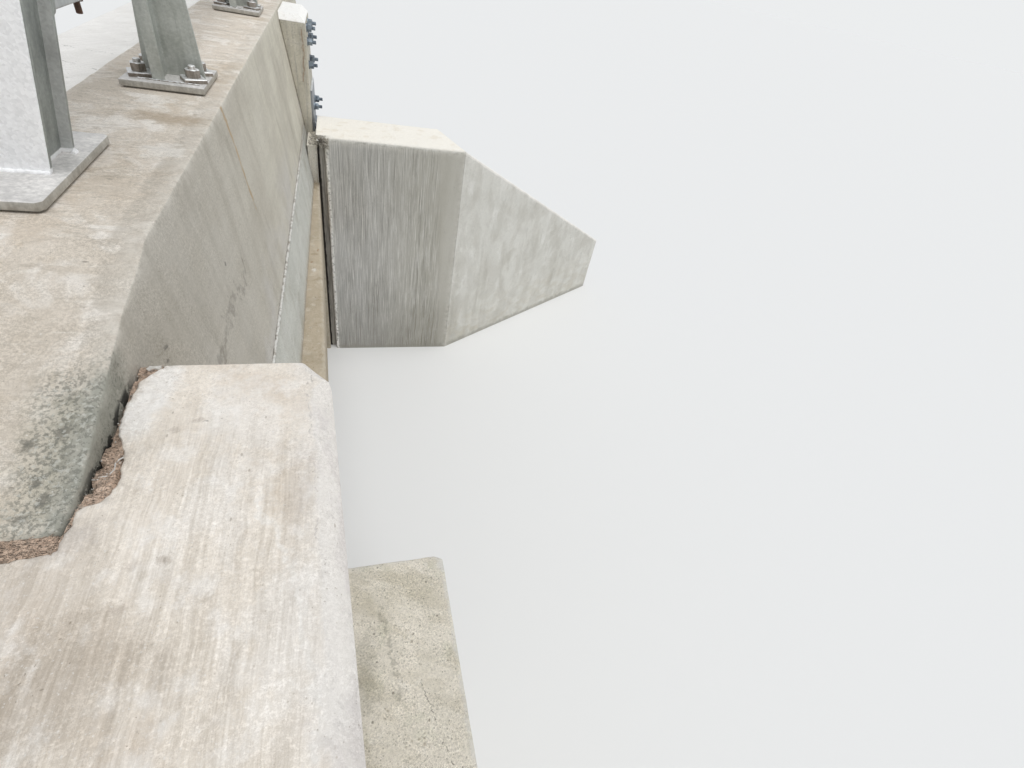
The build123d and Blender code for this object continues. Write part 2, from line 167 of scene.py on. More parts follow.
# %% Node recipes
class Recipe:
    """Adds nodes to a tree, one call a node, and links what it is given."""

    def __init__(self, tree):
        self.tree = tree

    def put(self, socket, value):
        """Links a socket, or sets it to a plain value."""
        if isinstance(value, bpy.types.NodeSocket):
            self.tree.links.new(value, socket)
        elif hasattr(socket.default_value, "__len__") and len(value) == 3 and len(socket.default_value) == 4:
            socket.default_value = (*value, 1)
        else:
            socket.default_value = value

    def node(self, kind, **inputs):
        """Outputs of a new node; `_` stands for a space, and a small name is a setting of the node."""
        made = self.tree.nodes.new(kind)
        for name, value in inputs.items():
            if name.islower():
                setattr(made, name, value)
        for name, value in inputs.items():
            if not name.islower():
                self.put(made.inputs[name.replace("_", " ")], value)
        return made.outputs

    def fed(self, kind, *values, **settings):
        """Outputs of a new node whose first inputs are given in their order."""
        made = self.tree.nodes.new(kind)
        for name, value in settings.items():
            setattr(made, name, value)
        for index, value in enumerate(values):
            self.put(made.inputs[index], value)
        return made.outputs

    def mapped(self, vector, scale=(1, 1, 1), turn=(0, 0, 0)):
        return self.node("ShaderNodeMapping", Vector=vector, Scale=scale, Rotation=turn)[0]

    def cloud(self, vector, scale, detail, rough, warp=0.0):
        return self.node("ShaderNodeTexNoise", Vector=vector, Scale=scale, Detail=detail, Roughness=rough,
                         Distortion=warp)

    def noise(self, vector, scale, detail=4.0, rough=0.55, warp=0.0):
        return self.cloud(vector, scale, detail, rough, warp)[0]

    def cells(self, vector, scale):
        return self.node("ShaderNodeTexVoronoi", Vector=vector, Scale=scale)

    def math(self, kind, a, b, clamp=False):
        return self.fed("ShaderNodeMath", a, b, operation=kind, use_clamp=clamp)[0]

    def plus(self, a, b):
        return self.math("ADD", a, b)

    def less(self, a, b):
        return self.math("SUBTRACT", a, b)

    def rest(self, mask):
        """Where a mask is not."""
        return self.less(1.0, mask)

    def times(self, *masks):
        """The masks multiplied together; plain numbers may stand among them."""
        total = masks[0]
        for mask in masks[1:]:
            total = self.math("MULTIPLY", total, mask)
        return total

    def band(self, value, low, high, out_low=0.0, out_high=1.0):
        """Value mapped from low..high to 0..1, smooth at both ends; low may be above high."""
        return self.fed("ShaderNodeMapRange", value, low, high, out_low, out_high,
                        interpolation_type="SMOOTHSTEP")[0]

    def mix(self, factor, a, b, blend="MIX"):
        made = self.tree.nodes.new("ShaderNodeMix")
        made.data_type = "RGBA"
        made.blend_type = blend
        for index, value in ((0, factor), (6, a), (7, b)):
            self.put(made.inputs[index], value)
        return made.outputs[2]

    def group(self, shared, **inputs):
        """Outputs of a node group that is placed in this tree."""
        made = self.tree.nodes.new("ShaderNodeGroup")
        made.node_tree = shared
        for name, value in inputs.items():
            self.put(made.inputs[name.replace("_", " ")], value)
        return made.outputs

    def vector(self, kind, a, b=(0, 0, 0)):
        made = self.tree.nodes.new("ShaderNodeVectorMath")
        made.operation = kind
        self.put(made.inputs[0], a)
        self.put(made.inputs[3] if kind == "SCALE" else made.inputs[1], b)
        return made.outputs["Value"] if kind in ("LENGTH", "DOT_PRODUCT") else made.outputs[0]

    def drift(self, color, amount):
        """A noise colour as a shift to either side, of that amount."""
        return self.vector("SCALE", self.vector("SUBTRACT", color, (0.5, 0.5, 0.5)), amount)

    def parts(self, vector):
        return self.node("ShaderNodeSeparateXYZ", Vector=vector)

    def joined(self, x, y, z):
        return self.node("ShaderNodeCombineXYZ", X=x, Y=y, Z=z)[0]

    def painted(self, name):
        return self.node("ShaderNodeAttribute", attribute_name=name)["Fac"]

    def bump(self, height, strength, distance):
        return self.node("ShaderNodeBump", Height=height, Strength=strength, Distance=distance)[0]


def start_material(name):
    """A new material with its recipe, its shader's inputs and its object coordinates."""
    material = bpy.data.materials.new(name)
    material.use_nodes = True
    recipe = Recipe(material.node_tree)
    shader = material.node_tree.nodes["Principled BSDF"].inputs
    return material, recipe, shader, recipe.node("ShaderNodeTexCoord")["Object"]


def add_socket(tree, name, in_out, kind, value=None):
    """A named socket of a tree; `_` stands for a space."""
    made = tree.interface.new_socket(name.replace("_", " "), in_out=in_out, socket_type="NodeSocket" + kind)
    if value is not None:
        made.default_value = value


def start_group(name, outputs, **inputs):
    """A shader node group: the tree, its recipe, its outputs' ends and its inputs in order.

    An input without a value is a vector, a row of numbers is a colour.
    """
    tree = bpy.data.node_groups.new(name, "ShaderNodeTree")
    for socket, value in inputs.items():
        kind = "Vector" if value is None else "Color" if isinstance(value, tuple) else "Float"
        add_socket(tree, socket, "INPUT", kind, value)
    for socket in outputs:
        add_socket(tree, socket, "OUTPUT", "Color" if socket == "Tone" else "Float")
    given = tree.nodes.new("NodeGroupInput").outputs
    return tree, Recipe(tree), tree.nodes.new("NodeGroupOutput").inputs, *list(given)[:len(inputs)]


print("recipes ready")

# %% [markdown]
# ## Shared effects as node groups
# Four effects come back on almost every concrete surface: cloudy tone, pits and grit, runs
# of water down a face, and the fine lines of a broom or a board. Three more place a single
# mark: a soft ragged spot, a line from one place to another, and sparse small nicks. The
# last is the skin of old zinc. Each is one group with its own knobs, and gives back only
# colours, masks and heights.

# %% Cloudy tone, and pits and grit
def make_cloud_group():
    """Tone that drifts between two colours at three scales."""
    tree, r, result, place, light, dark, size, depth = start_group(
        "cloudy_tone", ("Tone", "Cloud"), Place=None, Light=(0.6, 0.56, 0.5, 1), Dark=(0.4, 0.37, 0.32, 1),
        Size=1.0, Depth=0.5,
    )
    broad = r.noise(place, r.times(size, 1.1), 5, 0.6, 0.6)
    middle = r.noise(place, r.times(size, 6.0), 6, 0.62, 0.3)
    fine = r.noise(place, r.times(size, 34.0), 5, 0.65)
    total = r.plus(r.plus(r.times(broad, 0.45), r.times(middle, 0.33)), r.times(fine, 0.22))
    cloud = r.band(total, 0.62, 0.38)
    r.put(result["Cloud"], cloud)
    r.put(result["Tone"], r.mix(r.times(cloud, depth), light, dark))
    return tree


def make_grit_group():
    """Pits, sand and small aggregate: a mask for the dark pits and a height."""
    tree, r, result, place, pit_size, pits, sand = start_group(
        "pits_and_grit", ("Pit_mask", "Sand_mask", "Height"), Place=None, Pit_size=60.0, Pits=0.5, Sand=0.5,
    )
    warped = r.mix(0.03, place, r.node("ShaderNodeTexNoise", Vector=place, Scale=25.0)["Color"])
    near = r.cells(warped, pit_size)["Distance"]
    patch = r.noise(place, r.times(pit_size, 0.11), 3, 0.6)
    reach = r.times(r.band(patch, 0.35, 0.75), r.times(pits, 0.42))
    deep = r.math("SUBTRACT", 1.0, r.math("DIVIDE", near, r.plus(reach, 0.001), True), True)
    pit_mask = r.band(deep, 0.0, 0.55)
    fine = r.noise(place, 480.0, 3, 0.75)
    coarse = r.noise(place, 150.0, 5, 0.72)
    sand_mask = r.band(r.plus(r.times(fine, 0.5), r.times(coarse, 0.5)), 0.4, 0.6)
    r.put(result["Pit mask"], pit_mask)
    r.put(result["Sand mask"], sand_mask)
    r.put(result["Height"], r.less(r.times(sand_mask, sand), r.times(pit_mask, 1.4)))
    return tree


# %% Runs of water, and drawn lines
def make_run_group():
    """Runs of water down an upright face: long soft streaks, stronger in places."""
    tree, r, result, place, width, length, amount = start_group(
        "water_runs", ("Runs",), Place=None, Width=9.0, Length=0.7, Amount=0.5,
    )
    x, y, z = r.parts(place)
    drawn = r.joined(r.times(r.plus(x, y), width), r.times(y, width), r.times(z, length))
    streak = r.noise(drawn, 1.0, 6, 0.62, 0.25)
    patch = r.noise(place, 1.3, 3, 0.5)
    r.put(result["Runs"], r.times(r.band(streak, 0.44, 0.68), r.band(patch, 0.36, 0.62), amount))
    return tree


def make_line_group():
    """Fine parallel lines, as a broom or a rough board leaves them, in the x of its vector."""
    tree, r, result, place, fineness, length = start_group(
        "drawn_lines", ("Lines", "Height"), Place=None, Fineness=130.0, Length=2.5,
    )
    x, y, z = r.parts(place)
    thin = r.noise(r.joined(r.times(x, fineness), r.times(y, length), r.times(z, length)), 1.0, 4, 0.6)
    broad = r.noise(r.joined(r.times(x, r.times(fineness, 0.18)), r.times(y, length), z), 1.0, 4, 0.6)
    lines = r.plus(r.times(r.band(thin, 0.3, 0.7), 0.55), r.times(r.band(broad, 0.3, 0.7), 0.45))
    r.put(result["Lines"], lines)
    r.put(result["Height"], thin)
    return tree


# %% Spots, marks and nicks
def make_spot_group():
    """A soft spot with a ragged border, round a centre and with its own size each way."""
    tree, r, result, place, center, size, ragged, grain = start_group(
        "soft_spot", ("Mask",), Place=None, Center=None, Size=None, Ragged=0.8, Grain=40.0,
    )
    off = r.vector("DIVIDE", r.vector("SUBTRACT", place, center), size)
    cloud = r.cloud(place, grain, 3, 0.7)
    far = r.vector("LENGTH", r.vector("ADD", off, r.vector("SCALE", r.drift(cloud["Color"], ragged), 2.6)))
    r.put(result["Mask"], r.band(far, 1.0, 0.35))
    return tree


def make_mark_group():
    """A line from one place to another, which wanders and breaks up."""
    tree, r, result, place, start, end, width, wander = start_group(
        "line_mark", ("Mask",), Place=None, Start=None, End=None, Width=0.01, Wander=0.01,
    )
    cloud = r.cloud(place, 22.0, 3, 0.65)
    moved = r.vector("ADD", place, r.vector("SCALE", r.drift(cloud["Color"], wander), 3.0))
    off = r.vector("SUBTRACT", moved, start)
    way = r.vector("SUBTRACT", end, start)
    along = r.math("DIVIDE", r.vector("DOT_PRODUCT", off, way), r.vector("DOT_PRODUCT", way, way), True)
    far = r.vector("LENGTH", r.vector("SUBTRACT", off, r.vector("SCALE", way, along)))
    line = r.band(r.math("DIVIDE", far, width), 1.0, 0.3)
    r.put(result["Mask"], r.times(line, r.band(cloud[0], 0.3, 0.5, 0.45, 1.0)))
    return tree


def make_nick_group():
    """Small nicks or specks, one in some of the cells of a grid."""
    tree, r, result, place, scale, amount, size = start_group(
        "sparse_nicks", ("Mask",), Place=None, Scale=40.0, Amount=0.3, Size=0.2,
    )
    cells = r.cells(place, scale)
    own = r.parts(cells["Color"])
    pick = r.math("LESS_THAN", own[0], amount)
    reach = r.times(size, r.band(own[1], 0, 1, 0.5, 1.5))
    r.put(result["Mask"], r.times(r.band(r.math("DIVIDE", cells["Distance"], reach), 1.0, 0.5), pick))
    return tree


# %% Old zinc
def make_zinc_group():
    """The skin of old zinc: spangle, a white bloom, grime that runs down and specks of rust."""
    tree, r, result, place, light, dark, rust = start_group(
        "old_zinc", ("Tone", "Rust_mask", "Cloud", "Height"), Place=None, Light=(0.6, 0.62, 0.62, 1),
        Dark=(0.3, 0.31, 0.3, 1), Rust=0.3,
    )
    flake = r.parts(r.cells(place, 170.0)["Color"])[0]
    broad = r.noise(place, 9.0, 6, 0.62, 0.4)
    fine = r.noise(place, 75.0, 5, 0.65)
    runs = r.noise(r.mapped(place, (70, 70, 5)), 1.0, 5, 0.6)
    cloud = r.plus(r.plus(r.times(broad, 0.42), r.times(fine, 0.24)), r.times(runs, 0.34))
    cloud = r.band(cloud, 0.38, 0.63)
    tone = r.mix(1.0, r.mix(cloud, dark, light), r.mix(flake, (0.9, 0.9, 0.9), (1.06, 1.06, 1.06)),
                 "MULTIPLY")
    patch = r.noise(place, 14.0, 4, 0.6)
    grain = r.noise(place, 210.0, 5, 0.7)
    reach = r.plus(r.times(patch, 0.6), r.times(grain, 0.5))
    rusted = r.band(r.less(reach, r.less(0.86, r.times(rust, 0.34))), 0.0, 0.09)
    rusty = r.mix(r.noise(place, 320.0, 3, 0.7), (0.11, 0.055, 0.025), (0.3, 0.145, 0.06))
    r.put(result["Tone"], r.mix(r.times(rusted, 0.88), tone, rusty))
    r.put(result["Rust mask"], rusted)
    r.put(result["Cloud"], cloud)
    r.put(result["Height"], r.plus(r.times(fine, 0.5), r.times(rusted, grain)))
    return tree


cloudy_tone = make_cloud_group()
pits_and_grit = make_grit_group()
water_runs = make_run_group()
drawn_lines = make_line_group()
soft_spot = make_spot_group()
line_mark = make_mark_group()
sparse_nicks = make_nick_group()
old_zinc = make_zinc_group()
print("shared effects:", [g.name for g in bpy.data.node_groups])

# %% [markdown]
# ## Helpers for worn concrete
# A cast wall is a prism, but its edges are never sharp: they are rounded by the form and
# then chipped. So each wall is drawn as a stack of rings round its outline, or as a row of
# sections along its length, and every point near an edge is moved in a little by noise.
# Two painted values go with the points: `edge` is 1 on the arris and fades away from it,
# and `top` is 1 on the upper side.

# %% Mesh helpers
def wavy(point, scale, seed=0.0):
    """Smooth noise from -1 to 1 at a point."""
    return noise.noise(Vector(point) * scale + Vector((seed, 1.7 * seed, 0.6 * seed)))


def blend(value, low, high):
    """0 at low and 1 at high, smooth between; low may be above high."""
    t = min(1.0, max(0.0, (value - low) / (high - low)))
    return t * t * (3 - 2 * t)


def opened(mesh):
    """A mesh as a shape that can be edited."""
    shape = bmesh.new()
    shape.from_mesh(mesh)
    return shape


def closed(shape, mesh):
    """Turns the faces of a shape outwards and writes it to a mesh."""
    bmesh.ops.recalc_face_normals(shape, faces=shape.faces)
    shape.to_mesh(mesh)
    shape.free()
    return mesh


def new_piece(name, verts, faces, paint=None):
    """A mesh object at the origin, with its painted values on the points."""
    mesh = bpy.data.meshes.new(name)
    mesh.from_pydata([tuple(v) for v in verts], [], faces)
    for label, values in (paint or {}).items():
        painted = mesh.attributes.new(label, "FLOAT", "POINT")
        painted.data.foreach_set("value", np.asarray(values, np.float32))
    return stand(name, closed(opened(mesh), mesh))


def stack_of_rings(name, rings, paint):
    """Closed skin through equal rings of points, with a flat face at either end."""
    count = len(rings[0])
    faces = []
    for row in range(len(rings) - 1):
        low = row * count
        for i in range(count):
            j = (i + 1) % count
            faces.append((low + i, low + j, low + count + j, low + count + i))
    faces.append(tuple(range(count)))
    faces.append(tuple(range((len(rings) - 1) * count, len(rings) * count)))
    return new_piece(name, np.concatenate(rings), faces, paint)


def smoothed(piece, degrees=35):
    """Smooth shading that keeps flat sides flat, and a line on what was made."""
    for face in piece.data.polygons:
        face.use_smooth = True
    piece.data.set_sharp_from_angle(angle=radians(degrees))
    print(piece.name, len(piece.data.polygons), "faces")
    return piece


# %% [markdown]
# The outline of a wall in plan needs more points than its corners, so that its edge can
# wander. Each point also gets the way in which it moves when the outline shrinks: at a
# corner that is the mitre, and along a side it turns from one mitre to the next.

# %% Points round an outline
def fine_outline(corners, step):
    """Points round an outline: place, mitre, edge radius and nearness to a corner.

    A corner is (x, y, corner radius, edge radius of the side that starts there, step).
    """
    spots = [Vector(c[:2]) for c in corners]
    count = len(spots)
    area = sum(a.cross(b) for a, b in zip(spots, spots[1:] + spots[:1]))
    spin = 1 if area > 0 else -1
    ways = [(spots[(i + 1) % count] - spots[i]).normalized() for i in range(count)]
    outs = [Vector((way.y, -way.x)) * spin for way in ways]
    mitres = [(outs[i - 1] + outs[i]) / (1 + outs[i - 1].dot(outs[i])) for i in range(count)]
    cuts = [c[2] * tan(ways[i - 1].angle(ways[i]) / 2) for i, c in enumerate(corners)]
    rows = []
    for i, here in enumerate(spots):
        edge_in, edge_out = corners[i - 1][3], corners[i][3]
        a, b = here - ways[i - 1] * cuts[i], here + ways[i] * cuts[i]
        bends = 4 if cuts[i] else 0
        for k in range(bends + 1):
            t = k / bends if bends else 0.5
            spot = (1 - t) ** 2 * a + 2 * t * (1 - t) * here + t * t * b
            rows.append((*spot, *mitres[i], edge_in + (edge_out - edge_in) * t, 1.0))
        j = (i + 1) % count
        there = spots[j] - ways[i] * cuts[j]
        length = (there - b).length
        parts = max(1, round(length / (corners[i][4] or step)))
        for k in range(1, parts):
            t = k / parts
            near = min(t, 1 - t) * length
            rows.append((*b.lerp(there, t), *mitres[i].lerp(mitres[j], t), edge_out,
                         max(0.0, 1 - near / 0.05)))
    return np.array(rows)


# %% A worn wall
ROUND = ((1.0, 0.0), (0.62, 0.08), (0.29, 0.29), (0.08, 0.62), (0.0, 1.0))
SOFT_CHAMFER = ((1.0, 0.0), (0.84, 0.06), (0.45, 0.42), (0.07, 0.82), (0.0, 1.0))


def worn_wall(name, corners, low, top, step=0.03, seed=1.0, chips=0.5, bulge=0.002, profile=ROUND, bites=None,
              depths=(), rows=8, ease=1.7, margins=(0.018, 0.005), under=0.0):
    """A wall of plan outline `corners`, from `low` up to `top(x, y)`, with worn top edges.

    `bites(x, y, down)` moves a point of the outline at a depth below the top, `depths` are
    more rings near the top for it, `margins` are the rings of the flat top inside its edge,
    and `under` rounds the lower edge. There are `rows` rings below, closer at the top by `ease`.
    """
    line = fine_outline(corners, step)
    spot, inward, radius, corner = line[:, 0:2], line[:, 2:4], line[:, 4].copy(), line[:, 5]
    for i, (x, y) in enumerate(spot):
        fine = wavy((x, y, 0), 34, seed)
        chip = max(0.0, wavy((x, y, 0), 9, seed + 5) - 0.32) * 2.6 + max(0.0, fine - 0.45) * 1.1
        radius[i] *= min(1.5, 0.92 + 0.22 * fine + chips * chip * (1 - 0.7 * corner[i]))
    tall = np.array([top(x, y) - low for x, y in spot])
    rings, edges, tops = [], [], []

    def add_ring(inset, down, edge, is_top, swell=0.0, bitten=True):
        ring = []
        for i, (x0, y0) in enumerate(spot):
            push = inset[i] + swell * (0.5 + 0.5 * wavy((x0, y0, down[i]), 2.3, seed + 2))
            side_x, side_y = bites(x0, y0, down[i]) if bites and bitten else (0.0, 0.0)
            x, y = x0 - inward[i][0] * push + side_x, y0 - inward[i][1] * push + side_y
            ring.append((x, y, top(x, y) - down[i]))
        rings.append(np.array(ring))
        edges.append(np.maximum(edge, corner * 0.8 * (1 - is_top)))
        tops.append(np.full(len(spot), is_top))

    flat = np.zeros(len(spot))
    for index, margin in enumerate(margins):
        add_ring(radius + margin, flat, 0.25 * index, 1.0, bitten=index > 0)
    for index, (far_in, drop) in enumerate(profile):
        add_ring(radius * far_in, radius * drop, 1.0, 1.0 - index / (len(profile) - 1))
    for depth in depths:
        add_ring(flat, np.maximum(radius, depth), 0.6, 0.0)
    start = np.maximum(radius, max(depths, default=0.0))
    for row in range(1, rows + 1):
        share = (row / rows) ** ease
        last = row == rows
        add_ring(flat, start + share * (tall - under - start), 0.4 if row == 1 else 0.0, 0.0,
                 0.0 if last else bulge)
    if under:
        add_ring(flat + 0.3 * under, tall - 0.3 * under, 1.0, 0.0)
        add_ring(flat + under, tall, 1.0, 0.0)
    return smoothed(stack_of_rings(name, rings, {"edge": np.concatenate(edges), "top": np.concatenate(tops)}))


def level(height):
    """A flat top at that height."""
    return lambda x, y: height


# %% [markdown]
# Every piece that is made here gets its finish, rides on the one body and says which nodes
# of the model it stands for. The finishes come after the shapes and are kept by name.

# %% Finish, body and nodes of a piece
finishes = {}


def fit(piece, slot, *nodes):
    """Gives a piece its finish and puts it in place of its nodes."""
    piece.data.materials.clear()
    piece.data.materials.append(finishes[slot])
    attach(piece, "root")
    if nodes:
        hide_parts(*nodes)
    return piece


# %% [markdown]
# ## Coping and upper lift
# The coping and the battered face under it were cast in one. The section is the same all
# along, except that the top follows the ramp down at the near end. There the battered face
# turns smoothly into the upright side of the ramp's foot. So the piece is a row of sections
# along +Y.

# %% Row of sections
def section_at(y, rows):
    """Points of a section at y, with their painted values, from rows of (x, z, edge, top)."""
    rows = np.array(rows, float)
    return np.column_stack((rows[:, 0], np.full(len(rows), y), rows[:, 1])), rows[:, 2], rows[:, 3]


def along_wall(name, section, stations, end_in=0.006):
    """A skin through the sections at the stations along Y, closed at both ends."""
    rings, edges, tops = [], [], []
    last = len(stations) - 1
    for index, (y, battered) in enumerate(stations):
        points, edge, is_top = section(y, battered)
        if index in (0, last):
            middle = points.mean(axis=0)
            for axis in (0, 2):
                points[:, axis] += np.clip(middle[axis] - points[:, axis], -end_in, end_in)
            edge = np.maximum(edge, 0.9)
        rings.append(points)
        edges.append(edge)
        tops.append(is_top)
    return smoothed(stack_of_rings(name, rings, {"edge": np.concatenate(edges), "top": np.concatenate(tops)}))


def stations_along(start, jump, end, step):
    """Stations from start to end, upright before the jump and battered after it."""
    out = []
    for a, b, battered in ((start, jump, 0), (jump + 0.001, end, 1)):
        count = max(2, round((b - a) / step))
        out += [(a + (b - a) * k / count, battered) for k in range(count + 1)]
    out.insert(1, (start + 0.007, 0))
    out.insert(-1, (end - 0.007, 1))
    return out


def face_x(z):
    """Stream side of the battered face at height z."""
    return batter * (coping_z - z)


def coping_top(y):
    """Height of the coping, with a soft change where the ramp starts."""
    slope = (coping_z - near_top_z) / ramp_run
    bend = 0.03
    past = (ramp_top_y - y) / bend
    if past <= -1:
        return coping_z
    if past >= 1:
        return coping_z - slope * (ramp_top_y - y)
    return coping_z - slope * bend * (past + 1) ** 2 / 4


def foot_x(y):
    """Upright side of the ramp's foot, which stands a little inside the coping's line."""
    return -0.007 - 0.012 * blend(y, -0.1, near_end) ** 1.5


def upper_face_x(y, z, battered):
    """Stream side of the upper lift: upright at the foot of the ramp, battered beyond it."""
    if not battered:
        return foot_x(y)
    drawn_in = blend(y, ramp_top_y, near_face) * blend(z, near_top_z - 0.22, near_top_z)
    return face_x(z) - drawn_in * (face_x(z) - foot_x(y))


# %% The coping piece
coping_edge = 0.007
back_edge = 0.01
across_top = (back_x + 0.035, back_x + 0.09, -0.3, -0.24, -0.18, -0.12, -0.08, -0.045)
down_face = (0.02, 0.05, 0.1, 0.16, 0.22, 0.29, 0.36, 0.44, 0.54, 0.66, 0.8, 0.93, 0.985)


def coping_section(y, battered):
    """Section of the coping and the upper lift at y; it is upright beside the wing wall."""
    top = coping_top(y)
    chip = 1 + 0.45 * wavy((y, 0, 0), 31, 3) + 2.2 * max(0.0, wavy((y, 2, 0), 11, 9) - 0.36)
    worn_foot = 1.2 * blend(y, -0.1, near_end)
    front = coping_edge * (chip + worn_foot)
    rear = back_edge * (1 + 0.5 * wavy((y, 5, 0), 15, 4))

    def face(z):
        return upper_face_x(y, z, battered) - 0.0012 * (1 + wavy((0, y, z), 2.2, 6))

    def lid(x):
        return top - 0.0012 * (1 + wavy((x, y, 0), 3.1, 7)) - 0.0005 * (1 + wavy((x, y, 0), 14, 8))

    rows = [(back_x, lift_z + share * (top - lift_z), 0, 0) for share in (0.0, 0.35, 0.7, 0.92)]
    rows += [(back_x + rear * far_in, lid(back_x + rear) - rear * drop, 1, 1 - drop)
             for far_in, drop in ROUND[::-1]]
    rows += [(x, lid(x), 0, 1) for x in across_top]
    rows += [(face(top - front * drop) - front * far_in, lid(face(top)) - front * drop, 1, 1 - drop)
             for far_in, drop in ROUND]
    for share in down_face:
        z = top - front - share * (top - front - lift_z)
        rows.append((face(z), z, max(0.0, 0.5 - 10 * share) + (0.6 if share > 0.98 else 0.0), 0))
    rows.append((face(lift_z) - 0.005, lift_z, 0.6, 0))
    return section_at(y, rows)


parapet = along_wall("parapet_worn", coping_section, stations_along(near_end, near_face, parapet_hi.y, 0.012))

# %% [markdown]
# ## Lower lift
# Under the upper lift lies an older one. Between them runs a ragged line of mortar, so the
# top edge of the lower lift is worn back unevenly.

# %% The lower lift piece
groove_in = 0.006


def lower_section(y, battered):
    """Section of the lower lift: upright beside the wing wall, battered over the mouth."""
    ragged = groove_in * (1 + 0.6 * wavy((y, 1, 0), 16, 12))
    foot = 0.004 * (1 + 0.5 * wavy((y, 4, 0), 12, 15))

    def face(z):
        return (face_x(z) if battered else 0.0) - 0.0012 * (1 + wavy((0, y, z), 2.2, 16))

    rows = [(back_x, ledge_z, 0, 0), (back_x, lift_z, 0, 0)]
    rows += [(face(lift_z) - ragged * far_in, lift_z - ragged * drop, 1, 0) for far_in, drop in ROUND]
    for share in (0.1, 0.3, 0.5, 0.7, 0.9, 0.98):
        z = lift_z - ragged - share * (lift_z - ragged - ledge_z)
        rows.append((face(z), z, 0, 0))
    rows.append((face(ledge_z) - foot, ledge_z, 0.5, 0))
    return section_at(y, rows)


lower_lift = along_wall("lower_lift_worn", lower_section, stations_along(near_end, near_face, far_back, 0.03))

# %% [markdown]
# ## Near wing wall and its broken joint
# The slab nearest the eye laps round the foot of the ramp. Its edge along the joint has
# broken away in bites down to the fibre strip, and its stream edge is a worn chamfer. The
# broken edge is a few chosen places along the joint, with fine noise between them. It
# fades back to the straight joint a hand's breadth down.

# %% Near wing wall
joint_x = near_hi.x + 0.008
joint_y = near_end - 0.03
broken_side = (
    (-0.235, -0.014), (-0.208, -0.013), (-0.185, -0.009), (-0.163, -0.011), (-0.154, -0.003), (-0.15, 0.014),
    (-0.134, 0.029), (-0.103, 0.034), (-0.059, 0.029), (-0.025, 0.019), (0.008, 0.004), (0.044, -0.001),
    (0.087, -0.001), (0.155, 0.004), (0.18, 0.024), (0.205, 0.038),
)
broken_end = ((-0.46, -0.002), (-0.3, -0.01), (-0.16, -0.002), (-0.085, -0.008), (-0.05, -0.01),
              (-0.02, -0.003))
bite_deep = 0.075
slab_corner_x = 0.318
slab_turn_y = 0.13
slab_out = 0.377
joint_step = 0.005


def between(place, pairs):
    """Value at a place, on straight lines between pairs of (place, value)."""
    return np.interp(place, *zip(*pairs))


def broken_x(y):
    """Broken edge of the slab along the side of the joint."""
    return between(y, broken_side)


def broken_y(x):
    """How far the broken edge lies from the joint's line along its end run."""
    return between(x, broken_end)


def joint_bites(x, y, down):
    """Shift of the outline of the near wing wall at a depth below its top."""
    if down > bite_deep or y > near_face + 0.001 or x > slab_corner_x + 0.001 or y < joint_y - 0.001:
        return 0.0, 0.0
    fade = 1 - (down / bite_deep) ** 2
    rough = 0.0038 * wavy((x, y, 0.5 * down), 62, 21) + 0.002 * wavy((x, y, 0.3 * down), 150, 23)
    if y > near_face - 0.012 and x > joint_x:
        share = (x - joint_x) / (slab_corner_x - joint_x)
        return (broken_x(near_face) - joint_x) * (1 - share) * fade, 0.0
    if x > joint_x - 0.007 and y > joint_y:
        return (broken_x(y) - joint_x + rough) * fade, 0.0
    share = (x - back_x) / (joint_x - back_x)
    return (broken_x(joint_y) - joint_x) * share * fade, (broken_y(x) + rough) * fade


near_wing = worn_wall(
    "near_wing_wall_worn",
    [
        (joint_x, near_face, 0.004, 0.007, 0.02),
        (slab_corner_x, near_face, 0.012, 0.01, 0.016),
        (slab_out, slab_turn_y, 0.03, 0.04, 0.02),
        (slab_hi.x, slab_lo.y, 0.012, 0.012, 0.08),
        (back_x, slab_lo.y, 0.012, 0.012, 0.08),
        (back_x, joint_y, 0.004, 0.005, joint_step),
        (joint_x, joint_y, 0.006, 0.005, joint_step),
    ],
    0.0,
    level(near_top_z),
    seed=31,
    chips=0.25,
    profile=SOFT_CHAMFER,
    bites=joint_bites,
    depths=(0.014, 0.026, 0.038, 0.05, 0.062, 0.075),
    margins=(0.085, 0.032, 0.009),
)

# %% [markdown]
# ## Step wall
# The lower wall on the stream side of the near wing wall is older and more worn. It has
# rounded corners, and its inner side follows the skew of the wing wall.

# %% Step wall
step_wall = worn_wall(
    "step_wall_worn",
    [
        (slab_out, slab_turn_y, 0.0, 0.004, 0.02),
        (slab_hi.x, slab_lo.y, 0.0, 0.01, 0.05),
        (step_hi.x, step_lo.y, 0.012, 0.014, 0.012),
        (step_hi.x, step_hi.y - 0.017, 0.006, 0.01, 0.008),
        (step_hi.x - 0.03, step_hi.y, 0.006, 0.01, 0.01),
        (step_lo.x, step_hi.y, 0.004, 0.004, 0.012),
    ],
    0.0,
    level(ledge_z),
    seed=47,
    chips=0.7,
    margins=(0.014, 0.003),
)

# %% [markdown]
# ## Walls of the culvert
# The side walls, the roof slab and the wall that carries the coping on into the bank are
# plain. The front edge of the roof slab shows as a ledge under the headwall.

# %% Roof slab, side walls, run-on wall and road strip
plain_edge = 0.01


def block_outline(lo, hi, corner=0.008, edge=plain_edge):
    """Outline of a box in plan."""
    return [(x, y, corner, edge, 0) for x, y in ((lo.x, lo.y), (hi.x, lo.y), (hi.x, hi.y), (lo.x, hi.y))]


